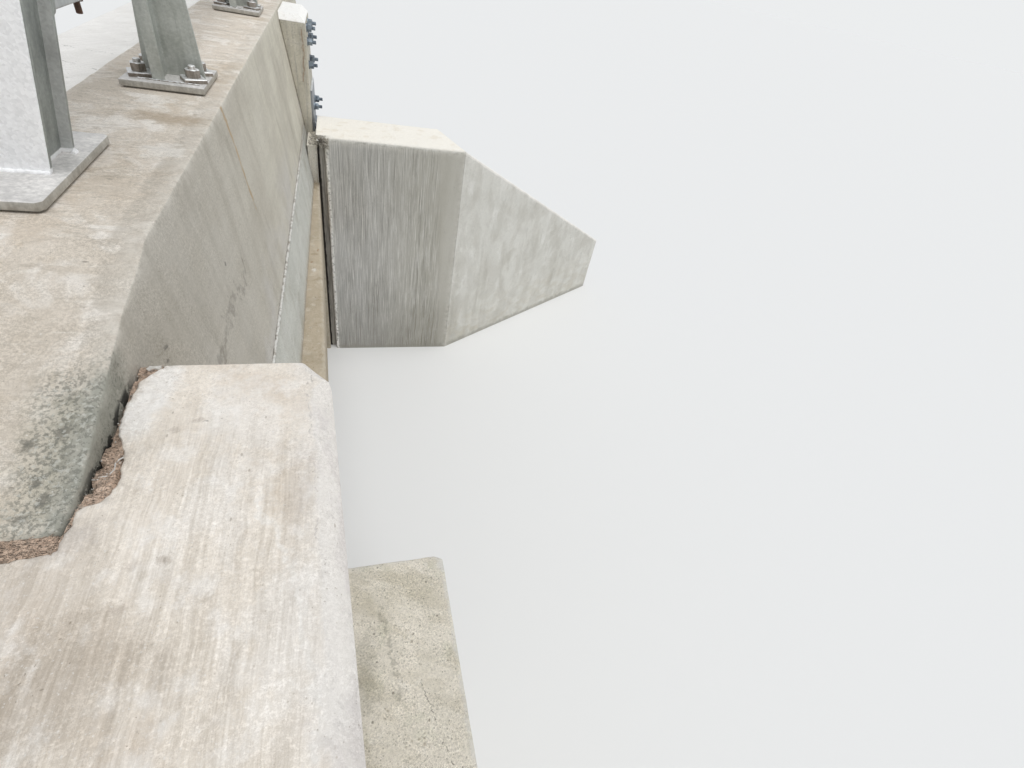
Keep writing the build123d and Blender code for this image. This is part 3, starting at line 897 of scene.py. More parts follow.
roof_slab = worn_wall(
    "roof_slab_worn",
    [
        (roof_lo.x, near_end, 0.008, plain_edge, 0.06),
        (near_hi.x, near_end, 0.0, 0.002, 0.05),
        (near_hi.x, near_face, 0.0, 0.002, 0.05),
        (roof_hi.x, near_face, 0.006, 0.014, 0.012),
        (far_hi.x, far_face, 0.0, 0.006, 0.03),
        (far_hi.x, far_back, 0.0, 0.006, 0.06),
        (roof_lo.x, far_back, 0.008, plain_edge, 0.06),
    ],
    roof_lo.z,
    level(ledge_z),
    seed=53,
    chips=0.9,
    rows=4,
    under=0.008,
)
near_side = worn_wall("near_side_wall_worn", block_outline(near_lo, near_hi), 0.0, level(near_hi.z), 0.06, 55)
far_side = worn_wall("far_side_wall_worn", block_outline(far_lo, far_hi), 0.0, level(far_hi.z), 0.06, 57)
run_lo, run_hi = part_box("run_on_wall")
run_on = worn_wall("run_on_wall_worn", block_outline(run_lo, run_hi), 0.0, level(run_hi.z), 0.08, 59)
strip_lo, strip_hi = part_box("road_strip")
road_strip = worn_wall("road_strip_worn", block_outline(strip_lo, strip_hi), strip_lo.z, level(strip_hi.z),
                       0.05, 61, rows=3, under=0.006)

# %% [markdown]
# ## Far wing wall and its flare
# The wing runs square to the headwall and then flares. The two pieces meet on a mitre, so
# only their outer edges are worn. The top of the flare slopes down to its end. The upright
# edge beside the joint was knocked about when the form came off, so it is chipped all the
# way down, and needs many rings.

# %% Far wing wall and flare
wing_x0, wing_y0 = wing_lo.x, wing_lo.y
wing_x1 = wing_hi.x
mitre_x, mitre_y = flare_lo.x, wing_hi.y
flare_dir = Vector((2.23, 1.38)).normalized()
flare_thick = wing_hi.y - wing_lo.y
tip_x, tip_y = flare_hi.x, flare_hi.y - flare_thick * flare_dir.x
flare_len = hypot(tip_x - wing_x1, tip_y - wing_y0)
flare_end_z = 0.7
arris_reach = 0.035


def flare_top(x, y):
    """Height of the sloping top of the flare."""
    along = (x - wing_x1) * flare_dir.x + (y - wing_y0) * flare_dir.y
    return wing_hi.z - (wing_hi.z - flare_end_z) * along / flare_len


def arris_bites(x, y, down):
    """Chips out of the upright edge beside the joint, deeper near the top."""
    near = 1 - hypot(x - wing_x0, y - wing_y0) / arris_reach
    if near <= 0:
        return 0.0, 0.0
    chip = 0.006 + 0.016 * max(0.0, wavy((down, 0, 3), 9, 75)) + 0.007 * wavy((x, y, down), 60, 76)
    chip += 0.012 * blend(down, 0.25, 0.0)
    return near * max(0.0, chip), near * max(0.0, chip) * 0.8


far_wing = worn_wall(
    "far_wing_wall_worn",
    [
        (wing_x0, wing_y0, 0.012, 0.018, 0.008),
        (wing_x1, wing_y0, 0.0, 0.001, 0.03),
        (mitre_x, mitre_y, 0.0, 0.014, 0.05),
        (wing_x0, mitre_y, 0.01, 0.014, 0.03),
    ],
    0.0,
    level(wing_hi.z),
    seed=67,
    chips=0.45,
    profile=SOFT_CHAMFER,
    bites=arris_bites,
    rows=90,
    ease=1.0,
)
far_flare = worn_wall(
    "far_wing_flare_worn",
    [
        (wing_x1, wing_y0, 0.0, 0.014, 0.025),
        (tip_x, tip_y, 0.012, 0.014, 0.03),
        (tip_x - flare_thick * flare_dir.y, flare_hi.y, 0.012, 0.014, 0.05),
        (mitre_x, mitre_y, 0.0, 0.001, 0.03),
    ],
    0.0,
    flare_top,
    seed=71,
    chips=0.3,
)

# %% [markdown]
# Above the ledge the joint between the pilaster and the far wing wall is closed by the end
# of the joint board under a broken concrete lid. It stands a little behind the wing's face,
# and rough packing fills most of the gap between it and the pilaster.

# %% Head of the far joint
head_back = wing_hi.y - 0.012
head_top = wing_hi.z
head_low = ledge_z - 0.02


def head_block(name, left, right, front, low, top, step, **wear):
    """A rough upright block in the joint, from `front` to the back of the wing wall."""
    corners = [(left, front), (right, front), (right, head_back), (left, head_back)]
    return worn_wall(name, [(x, y, 0.004, 0.004, step) for x, y in corners], low, level(top), **wear)


joint_head = head_block("far_joint_head", 0.236, wing_x0 + 0.014, 3.704, head_low, head_top - 0.035, 0.01,
                        seed=91, chips=0.3, margins=(0.006,))
head_lid = head_block("far_joint_lid", 0.226, wing_x0 + 0.05, 3.684, head_top - 0.045, head_top + 0.0006,
                      0.008, seed=93, chips=1.2, bulge=0.012, rows=3, margins=(0.006,))
packing = head_block("far_joint_packing", 0.15, 0.2335, 3.735, head_low, head_top - 0.1, 0.009,
                     seed=97, chips=2.0, bulge=0.01, rows=24, ease=1.0, margins=(0.006,))

# %% [markdown]
# ## Fibre strip in the joint
# The joint round the ramp's foot is filled with a coarse brown fibre strip. In the deepest
# bite it lies almost flush with the slab, elsewhere a finger lower, and it has shrunk away
# from its sides in places, which leaves dark gaps. It is a row of sections along the joint.

# %% Joint filler
filler_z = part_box("joint_filler")[0].z
filler_depths = ((-0.21, 0.006), (-0.155, 0.004), (-0.02, 0.004), (0.006, 0.012), (0.09, 0.015),
                 (0.12, 0.007), (0.205, 0.005))
side_gaps = ((0.168, 0.01, 0.0), (-0.012, 0.016, 0.0), (-0.068, 0.01, 0.0), (-0.118, 0.012, 0.0),
             (-0.185, 0.02, 0.0), (-0.09, 0.05, 1.0))


def filler_sink(y, share):
    """Depth of the fibre below the slab's top; share is 0 at the ramp and 1 at the slab."""
    sink = between(y, filler_depths)
    for middle, half, side in side_gaps:
        near = 1 - ((y - middle) / half) ** 2
        if near > 0:
            sink += 0.03 * near * blend(abs(share - side), 0.28, 0.05)
    return sink


filler_shares = (1.0, 0.95, 0.88, 0.78, 0.68, 0.58, 0.48, 0.38, 0.28, 0.18, 0.09, 0.03, 0.0)
filler_step = 0.003


def filler_stations():
    """Stations along the joint: inner place, outer place, and the y that sets the depth."""
    out = []
    for y in np.arange(near_face - 0.003, joint_y + 0.012, -filler_step):
        out.append(((foot_x(y) + 0.001, y), (broken_x(y) + 0.001, y), y))
    corner_x = broken_x(joint_y)
    out.append(((foot_x(near_end) - 0.002, near_end + 0.001), (corner_x + 0.001, joint_y - 0.004), joint_y))
    for x in np.arange(corner_x - 0.012, back_x + 0.002, -filler_step):
        out.append(((x, near_end + 0.001), (x, joint_y + broken_y(x) - 0.001), joint_y))
    return out


rings = []
for inner, outer, y in filler_stations():
    inner, outer = Vector((*inner, filler_z)), Vector((*outer, filler_z))
    ring = [inner, outer]
    for share in filler_shares:
        spot = inner.lerp(outer, share)
        sink = filler_sink(y, share) + 0.0014 * wavy(spot, 60, 81) + 0.0016 * wavy(spot, 260, 83)
        ring.append(Vector((spot.x, spot.y, near_top_z - max(0.001, sink))))
    rings.append(np.array([tuple(p) for p in ring]))
values = np.zeros(len(rings) * len(rings[0]))
joint_fill = smoothed(stack_of_rings("joint_filler_worn", rings, {"edge": values, "top": values + 1}), 60)

# %% [markdown]
# ## Steel with softened edges
# Rolled and cut steel has edges of about a millimetre, which catch the light. Each steel
# piece starts as a copy of its node, is made a clean mesh again, and gets a small bevel.

# %% Softened copies of nodes
def softened_copy(node, width, segments=2):
    """Copy of a node's mesh with bevelled edges."""
    mesh = bpy.data.objects[node].data.copy()
    shape = opened(mesh)
    bmesh.ops.remove_doubles(shape, verts=shape.verts, dist=1e-5)
    bmesh.ops.dissolve_limit(shape, angle_limit=radians(1), verts=shape.verts, edges=shape.edges)
    bmesh.ops.recalc_face_normals(shape, faces=shape.faces)
    sharp = [edge for edge in shape.edges if edge.is_manifold and edge.calc_face_angle() > radians(20)]
    bmesh.ops.bevel(shape, geom=sharp, offset=width, segments=segments, profile=0.6, affect="EDGES",
                    clamp_overlap=True)
    shape.to_mesh(mesh)
    shape.free()
    return smoothed(stand(node + "_finished", mesh), 40)


line_posts = [f"post_{number}" for number in (2, 3, 4)]
rails = ("lower_rail", "middle_rail", "top_rail")
soft_posts = {name: softened_copy(name, 0.001) for name in line_posts + ["end_post"]}
soft_bases = {name: softened_copy(name + "_base", 0.0014) for name in soft_posts}
soft_clips = {name: softened_copy(name + "_clips", 0.001) for name in line_posts}
soft_rails = {name: softened_copy(name, 0.006, 3) for name in rails}
stud_plate = softened_copy("pilaster_plate", 0.0014)

# %% [markdown]
# The plates between the end post and its rails were cut with a torch and have round lower
# corners. Each is a flat outline whose corners are bevelled before it gets its thickness.

# %% Rail end plates
plates_lo, plates_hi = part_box("rail_end_plates")
post_lo, post_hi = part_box("end_post")
post_foot_w = 0.164
post_lean = (post_hi.x - post_lo.x - post_foot_w) / (post_hi.z - 0.01 - post_lo.z)
plate_over = 0.01
plate_round = 0.016


def cut_plate(shape, corners, y0, y1, radius):
    """Adds a plate with round corners, from its outline in x and z, between y0 and y1."""
    made = bmesh.new()
    face = made.faces.new([made.verts.new((x, y0, z)) for x, z in corners])
    bmesh.ops.bevel(made, geom=list(face.verts), offset=radius, segments=6, profile=0.5, affect="VERTICES")
    drawn = bmesh.ops.extrude_face_region(made, geom=list(made.faces))["geom"]
    corners = [corner for corner in drawn if isinstance(corner, bmesh.types.BMVert)]
    bmesh.ops.translate(made, vec=(0, y1 - y0, 0), verts=corners)
    mesh = bpy.data.meshes.new("plate")
    made.to_mesh(mesh)
    made.free()
    shape.from_mesh(mesh)
    bpy.data.meshes.remove(mesh)


shape = bmesh.new()
for name in rails:
    rail_lo, rail_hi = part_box(name)
    low, high = rail_lo.z - plate_over, rail_hi.z + plate_over
    right_low, right_high = [post_lo.x + post_foot_w + post_lean * (z - post_lo.z) for z in (low, high)]
    outline = [(rail_lo.x, low), (right_low, low), (right_high, high), (rail_lo.x, high)]
    cut_plate(shape, outline, plates_lo.y, plates_hi.y, plate_round)
plates_mesh = closed(shape, bpy.data.meshes.new("rail_end_plates_finished"))
end_plates = smoothed(stand("rail_end_plates_finished", plates_mesh), 40)

# %% [markdown]
# ## Pilaster and its chamfered top
# The pilaster is rough concrete with a smooth pale top course. Both start as copies of
# their nodes, like the steel. Their sides are then divided and moved by noise, more near
# the ragged foot over the ledge than higher up.

# %% Pilaster
def roughened(piece, cuts, depth, scale, seed):
    """Divides the long edges of a piece and moves its points by noise, inwards only."""
    shape = opened(piece.data)
    middle = sum((v.co for v in shape.verts), Vector()) / len(shape.verts)
    for _ in range(cuts):
        long = [edge for edge in shape.edges if edge.calc_length() > 0.03]
        bmesh.ops.subdivide_edges(shape, edges=long, cuts=1, use_grid_fill=True)
    for vert in shape.verts:
        deep = depth(vert.co) * (0.5 + 0.5 * wavy(vert.co, scale, seed))
        if vert.co.z > 0.001:
            way = Vector((middle.x - vert.co.x, middle.y - vert.co.y, 0))
            vert.co += way.normalized() * max(0.0, deep)
    bmesh.ops.triangulate(shape, faces=[face for face in shape.faces if len(face.verts) > 4])
    closed(shape, piece.data)
    return smoothed(piece, 40)


def pilaster_depth(point):
    """How deep the skin of the pilaster may be worn at a point."""
    return 0.003 + 0.012 * blend(point.z, 2.15, 1.75)


pilaster = roughened(softened_copy("pilaster", 0.007), 6, pilaster_depth, 18, 87)
pilaster_cap = roughened(softened_copy("pilaster_cap", 0.005, 3), 4, lambda point: 0.003, 11, 89)

# %% [markdown]
# ## Nuts and bolt ends
# One bolt end is drawn once: washer, chamfered nut and a threaded end. The thread is a ring
# of points whose radius turns with height, so it is a true screw. Geometry Nodes put a copy
# on every anchor, each turned by a small random angle.

# %% One bolt end
def lathe(name, rows, around=24):
    """Closed mesh from rows of (height, radius at an angle), with flat ends."""
    rings = []
    for height, radius in rows:
        ring = []
        for k in range(around):
            angle = 2 * pi * k / around
            r = radius(angle)
            ring.append((r * cos(angle), r * sin(angle), height))
        rings.append(np.array(ring))
    values = np.zeros(len(rings) * around)
    return stack_of_rings(name, rings, {"edge": values, "top": values})


def round_r(radius):
    return lambda angle: radius


def square_r(half):
    """Radius of a square of that half width, at an angle."""
    return lambda angle: half / max(abs(cos(angle)), abs(sin(angle)))


def hex_r(across):
    """Radius of a hexagon of that width across flats, at an angle."""
    return lambda angle: across / 2 / cos((angle + pi / 6) % (pi / 3) - pi / 6)


def screw_r(radius, height, pitch):
    """Radius of a thread at a height."""
    return lambda angle: radius * (1 + 0.045 * sin(2 * pi * height / pitch - angle))


def threaded_rows(radius, low, high, pitch):
    """Rows of a threaded shank between two heights, with a chamfered end."""
    heights = np.arange(low, high - 0.002, pitch / 4)
    rows = [(z, screw_r(radius * 0.96, z, pitch)) for z in heights]
    return rows + [(high - 0.0015, round_r(radius * 0.9)), (high, round_r(radius * 0.72))]


def bolt_end(name, nut_across, nut_h, thread_r, reach, washer_r, washer_t, square=False, pitch=0.003):
    """Washer, nut and threaded end standing along +Z from the origin."""
    washer = square_r(washer_r) if square else round_r(washer_r)
    soft = washer_t * 0.18
    top = washer_t + nut_h
    shape = hex_r(nut_across)
    tip = nut_across * 0.475
    rows = [
        (0, washer),
        (washer_t - soft, washer),
        (washer_t, lambda angle: washer(angle) - soft),
        (washer_t, lambda angle: shape(angle) * 0.985),
        (washer_t + 0.001, shape),
        (top - nut_across * 0.05, shape),
        (top, lambda angle: min(shape(angle), tip)),
        (top, round_r(thread_r * 1.12)),
        (top - 0.001, round_r(thread_r)),
    ]
    return lathe(name, rows + threaded_rows(thread_r, top, top + reach, pitch))


# %% Bolt ends on their spots
def start_tree(name, **inputs):
    """A Geometry Nodes tree: its recipe and its inputs in order, from their names and kinds."""
    tree = bpy.data.node_groups.new(name, "GeometryNodeTree")
    for socket, kind in inputs.items():
        add_socket(tree, socket, "INPUT", kind)
    add_socket(tree, "Made", "OUTPUT", "Geometry")
    return Recipe(tree), *list(tree.nodes.new("NodeGroupInput").outputs)[:len(inputs)]


def end_tree(r, shape, finish):
    """Ends a tree in Realize Instances and Set Material."""
    real = r.fed("GeometryNodeRealizeInstances", shape)[0]
    r.fed("NodeGroupOutput", r.node("GeometryNodeSetMaterial", Geometry=real, Material=finish)[0])
    return r.tree


def make_bolt_tree():
    """Puts a bolt end on each point, turned about its own axis."""
    r, spots, bolt, aim, turn, seed, finish = start_tree("bolt_ends", Spots="Geometry", Bolt="Object",
                                                         Aim="Rotation", Turn="Float", Seed="Int",
                                                         Finish="Material")
    shape = r.node("GeometryNodeObjectInfo", Object=bolt)["Geometry"]
    own_turn = r.node("FunctionNodeRandomValue", Min=r.times(turn, -1), Max=turn, Seed=seed)["Value"]
    spin = r.fed("FunctionNodeEulerToRotation", r.node("ShaderNodeCombineXYZ", Z=own_turn)[0])[0]
    both = r.node("FunctionNodeRotateRotation", rotation_space="LOCAL", Rotation=aim, Rotate_By=spin)[0]
    copies = r.node("GeometryNodeInstanceOnPoints", Points=spots, Instance=shape, Rotation=both)[0]
    return end_tree(r, copies, finish)


def grown(name, base, tree, **values):
    """Runs a Geometry Nodes tree on a base object and keeps the plain mesh it gives."""
    modifier = base.modifiers.new("grow", "NODES")
    modifier.node_group = tree
    for item in tree.interface.items_tree:
        if item.in_out == "INPUT" and item.name.replace(" ", "_") in values:
            modifier[item.identifier] = values[item.name.replace(" ", "_")]
    bpy.context.view_layer.update()
    seen = base.evaluated_get(bpy.context.evaluated_depsgraph_get())
    mesh = bpy.data.meshes.new_from_object(seen)
    bpy.data.objects.remove(base)
    return stand(name, mesh)


def ground(points, edges=(), faces=()):
    """What a tree grows on: loose points, points joined by edges, or faces."""
    mesh = bpy.data.meshes.new("ground")
    mesh.from_pydata(points, edges, faces)
    return stand("ground", mesh)


bolt_tree = make_bolt_tree()

# %% [markdown]
# ## Beads of weld and mortar
# A weld, a ragged joint and a string of mortar are all a lumpy bar along a path. One tree
# makes them: the path becomes a curve, gets a round section, and every point of the skin
# is moved by noise. The ends are closed.

# %% Lumpy beads
def make_bead_tree():
    """A round bar along each path of edges, with a lumpy skin."""
    r, path, radius, wander, lump, lump_scale, step, seed, finish = start_tree(
        "lumpy_bead", Path="Geometry", Radius="Float", Wander="Float", Lump="Float", Lump_scale="Float",
        Step="Float", Seed="Float", Finish="Material",
    )

    def shaken(shape, scale, amount, seed_step):
        """Moves the points of a shape by noise of its own in each direction."""
        cloud = r.node("ShaderNodeTexNoise", noise_dimensions="4D", W=r.plus(seed, seed_step), Scale=scale,
                       Detail=3)
        return r.node("GeometryNodeSetPosition", Geometry=shape, Offset=r.drift(cloud["Color"], amount))[0]

    curve = r.node("GeometryNodeMeshToCurve", Mesh=path)[0]
    even = r.node("GeometryNodeResampleCurve", mode="LENGTH", Curve=curve, Length=step)[0]
    ring = r.node("GeometryNodeCurvePrimitiveCircle", Resolution=8, Radius=radius)[0]
    skin = r.node("GeometryNodeCurveToMesh", Curve=shaken(even, lump_scale, wander, 7.3), Profile_Curve=ring,
                  Fill_Caps=True)[0]
    return end_tree(r, shaken(skin, r.times(lump_scale, 2.2), lump, 0.0), finish)


bead_tree = make_bead_tree()


def beads(name, paths, radius, slot, seed, wander=0.4, lump=1.3, lump_scale=60.0):
    """One piece of lumpy beads along several paths of points; it stands for no node."""
    points, edges = [], []
    for path in paths:
        edges += [(len(points) + k, len(points) + k + 1) for k in range(len(path) - 1)]
        points += [tuple(p) for p in path]
    piece = grown(name, ground(points, edges), bead_tree, Radius=radius, Wander=wander * radius,
                  Lump=lump * radius, Lump_scale=lump_scale, Step=radius, Seed=float(seed),
                  Finish=finishes[slot])
    return fit(smoothed(piece, 50), slot)


# %% [markdown]
# ## Fibres and crumbs
# The fibre strip is coarse: short stiff fibres lie in it every way. Crumbs of stone and
# mortar lie beside the broken joint and at the foot of the pilaster. One tree scatters a
# small shape over a ground, each copy turned and sized at random from a fixed seed.

# %% Scattered grains
def make_scatter_tree():
    """Copies of a grain over the faces of a ground that look up."""
    r, base, grain, density, low_turn, high_turn, low_size, high_size, up_only, seed, finish = start_tree(
        "scattered_grains", Ground="Geometry", Grain="Object", Density="Float", Least_turn="Vector",
        Most_turn="Vector", Least_size="Float", Most_size="Float", Up_only="Float", Seed="Int",
        Finish="Material",
    )
    facing = r.parts(r.node("GeometryNodeInputNormal")[0])["Z"]
    upward = r.node("FunctionNodeCompare", operation="GREATER_THAN", A=facing, B=up_only)[0]
    spots = r.node("GeometryNodeDistributePointsOnFaces", Mesh=base, Selection=upward, Density=density,
                   Seed=seed)
    shape = r.node("GeometryNodeObjectInfo", Object=grain)["Geometry"]
    turn = r.node("FunctionNodeRandomValue", data_type="FLOAT_VECTOR", Min=low_turn, Max=high_turn, Seed=seed)
    size = r.node("FunctionNodeRandomValue", Min=low_size, Max=high_size)
    copies = r.node("GeometryNodeInstanceOnPoints", Points=spots["Points"], Instance=shape,
                    Rotation=turn["Value"], Scale=size["Value"])[0]
    return end_tree(r, copies, finish)


scatter_tree = make_scatter_tree()


def strand(length, radius, bow):
    """One short bent fibre along X, four-sided, with pointed ends."""
    rings = []
    for k in range(6):
        t = k / 5
        thick = radius * (0.35 + 0.65 * sin(pi * t))
        x, z = length * (t - 0.5), bow * sin(pi * t)
        rings.append(np.array([(x, thick * cos(a), z + thick * sin(a)) for a in (0, pi / 2, pi, 1.5 * pi)]))
    return stack_of_rings("strand", rings, {})


def stone(seed):
    """One angular crumb of radius 1."""
    shape = bmesh.new()
    bmesh.ops.create_icosphere(shape, subdivisions=1, radius=1.0)
    for vert in shape.verts:
        vert.co *= 0.78 + 0.35 * wavy(vert.co, 1.3, seed)
        vert.co.z *= 0.7
    return stand("stone", closed(shape, bpy.data.meshes.new("stone")))


def scattered(name, base, grain, slot, density, sizes, seed, turns=((0, 0, 0), (6.28, 6.28, 6.28)),
              up_only=-2.0):
    """One piece of grains scattered over a ground, which is removed with the grain."""
    piece = grown(name, base, scatter_tree, Grain=grain, Density=density, Least_turn=turns[0],
                  Most_turn=turns[1], Least_size=sizes[0], Most_size=sizes[1], Up_only=up_only, Seed=seed,
                  Finish=finishes[slot])
    bpy.data.objects.remove(grain)
    print(name, len(piece.data.polygons), "faces")
    return fit(piece, slot)


print("trees:", bolt_tree.name, bead_tree.name, scatter_tree.name)

# %% [markdown]
# ## Concrete finishes
# A finish starts as a cloudy tone, and then marks are laid on it one by one: a `Surface`
# keeps the tone and the height that have been reached. Each concrete surface has its own
# marks, so every material is a short list of them.

# %% A surface in the making
class Surface(Recipe):
    """A tone and a height that marks are laid on, one call a mark."""

    def __init__(self, name, light, dark, size=1.0, depth=0.8):
        self.material, recipe, self.shader, self.place = start_material(name)
        super().__init__(recipe.tree)
        self.x, self.y, self.z = self.parts(self.place)
        cloud = self.group(cloudy_tone, Place=self.place, Light=light, Dark=dark, Size=size, Depth=depth)
        self.tone, self.cloudy, self.height = cloud["Tone"], cloud["Cloud"], 0

    def lay(self, mask, color, amount=1.0, lift=0.0, blend="MIX"):
        """Lays a colour where the mask is, or where all of several are, and lifts or sinks it."""
        mask = self.times(*mask) if isinstance(mask, tuple) else mask
        self.tone = self.mix(self.times(mask, amount), self.tone, color, blend)
        if lift:
            self.height = self.plus(self.height, self.times(mask, lift))

    def tint(self, mask, color, amount=1.0):
        """Multiplies the tone by a colour where the mask is."""
        self.lay(mask, color, amount, blend="MULTIPLY")

    def spot(self, center, size, ragged=0.8, grain=40.0):
        return self.group(soft_spot, Place=self.place, Center=center, Size=size, Ragged=ragged,
                          Grain=grain)[0]

    def spots(self, centers, size, ragged=0.8, grain=40.0):
        """One mask of several spots."""
        total = 0
        for center in centers:
            total = self.math("MAXIMUM", total, self.spot(center, size, ragged, grain))
        return total

    def path(self, places, width, wander=0.01):
        """One mask along a path of places."""
        total = 0
        for start, end in zip(places, places[1:]):
            line = self.group(line_mark, Place=self.place, Start=start, End=end, Width=width, Wander=wander)
            total = self.math("MAXIMUM", total, line[0])
        return total

    def nicks(self, scale, amount, size, stretch=(1, 1, 1)):
        place = self.mapped(self.place, stretch)
        return self.group(sparse_nicks, Place=place, Scale=scale, Amount=amount, Size=size)[0]

    def patches(self, scale, low, high, stretch=(1, 1, 1), detail=5.0, warp=0.0):
        """A mask of noise between two levels."""
        return self.band(self.noise(self.mapped(self.place, stretch), scale, detail, 0.62, warp), low, high)

    def wander(self, start, scale, reach, detail=4):
        """A coordinate that noise moves to either side, for a border that isn't straight."""
        return self.plus(start, self.times(self.less(self.noise(self.place, scale, detail), 0.5), reach))

    def grit(self, pit_size=60.0, pits=0.4, sand=0.5, contrast=0.12, dark=(0.55, 0.52, 0.47)):
        """Sand, which lightens and darkens the tone by turns, and dark pits."""
        got = self.group(pits_and_grit, Place=self.place, Pit_size=pit_size, Pits=pits, Sand=sand)
        patchy = self.band(self.noise(self.place, 12, 4, 0.6), 0.35, 0.65, 0.5, 1.2)
        pale, grey = 1 + contrast * 0.8, 1 - contrast
        shade = self.mix(got["Sand mask"], (pale, pale, pale), (grey, grey * 0.992, grey * 0.975))
        self.tone = self.mix(1, self.tone, self.mix(patchy, (1, 1, 1), shade), "MULTIPLY")
        self.tint(got["Pit mask"], dark, 0.7)
        self.height = self.plus(self.height, got["Height"])

    def runs(self, color, amount, width=9.0, length=0.7):
        """Runs of water down the face."""
        self.tint(self.group(water_runs, Place=self.place, Width=width, Length=length, Amount=amount)[0],
                  color)

    def lines(self, fineness, length, amount, lift=0.4, turn=(0, 0, 0), dark=(0.8, 0.79, 0.77), where=1.0):
        """Drawn lines along Y, or along the axis that the turn brings there."""
        shift = self.cloud(self.place, 14, 3, 0.5)["Color"]
        waved = self.vector("ADD", self.place, self.vector("SCALE", shift, 0.014))
        place = self.mapped(waved, (1, 1, 1), turn)
        got = self.group(drawn_lines, Place=place, Fineness=fineness, Length=length)
        self.tint(where, self.mix(got["Lines"], (1.07, 1.07, 1.07), dark), amount)
        if lift:
            self.height = self.plus(self.height, self.times(got["Height"], where, lift))

    def worn_edge(self, light, amount=0.6):
        """Arrises are rubbed pale, in broken stretches."""
        broken = self.band(self.noise(self.place, 26, 5, 0.65), 0.36, 0.6)
        self.lay(self.times(self.painted("edge"), broken), light, amount)

    def close(self, rough=(0.78, 0.95), bump=0.35, distance=0.002):
        """Links what has been laid to the shader."""
        self.put(self.shader["Base Color"], self.tone)
        self.put(self.shader["Roughness"], self.band(self.cloudy, 0, 1, *rough))
        self.put(self.shader["Normal"], self.bump(self.height, bump, distance))
        self.put(self.shader["Specular IOR Level"], 0.35)
        return self.material


def at(height, *places):
    """Places in plan, given a height."""
    return [(x, y, height) for x, y in places]


LIME = (0.8, 0.79, 0.76)
RUST = (0.34, 0.2, 0.11)
print("surfaces ready")
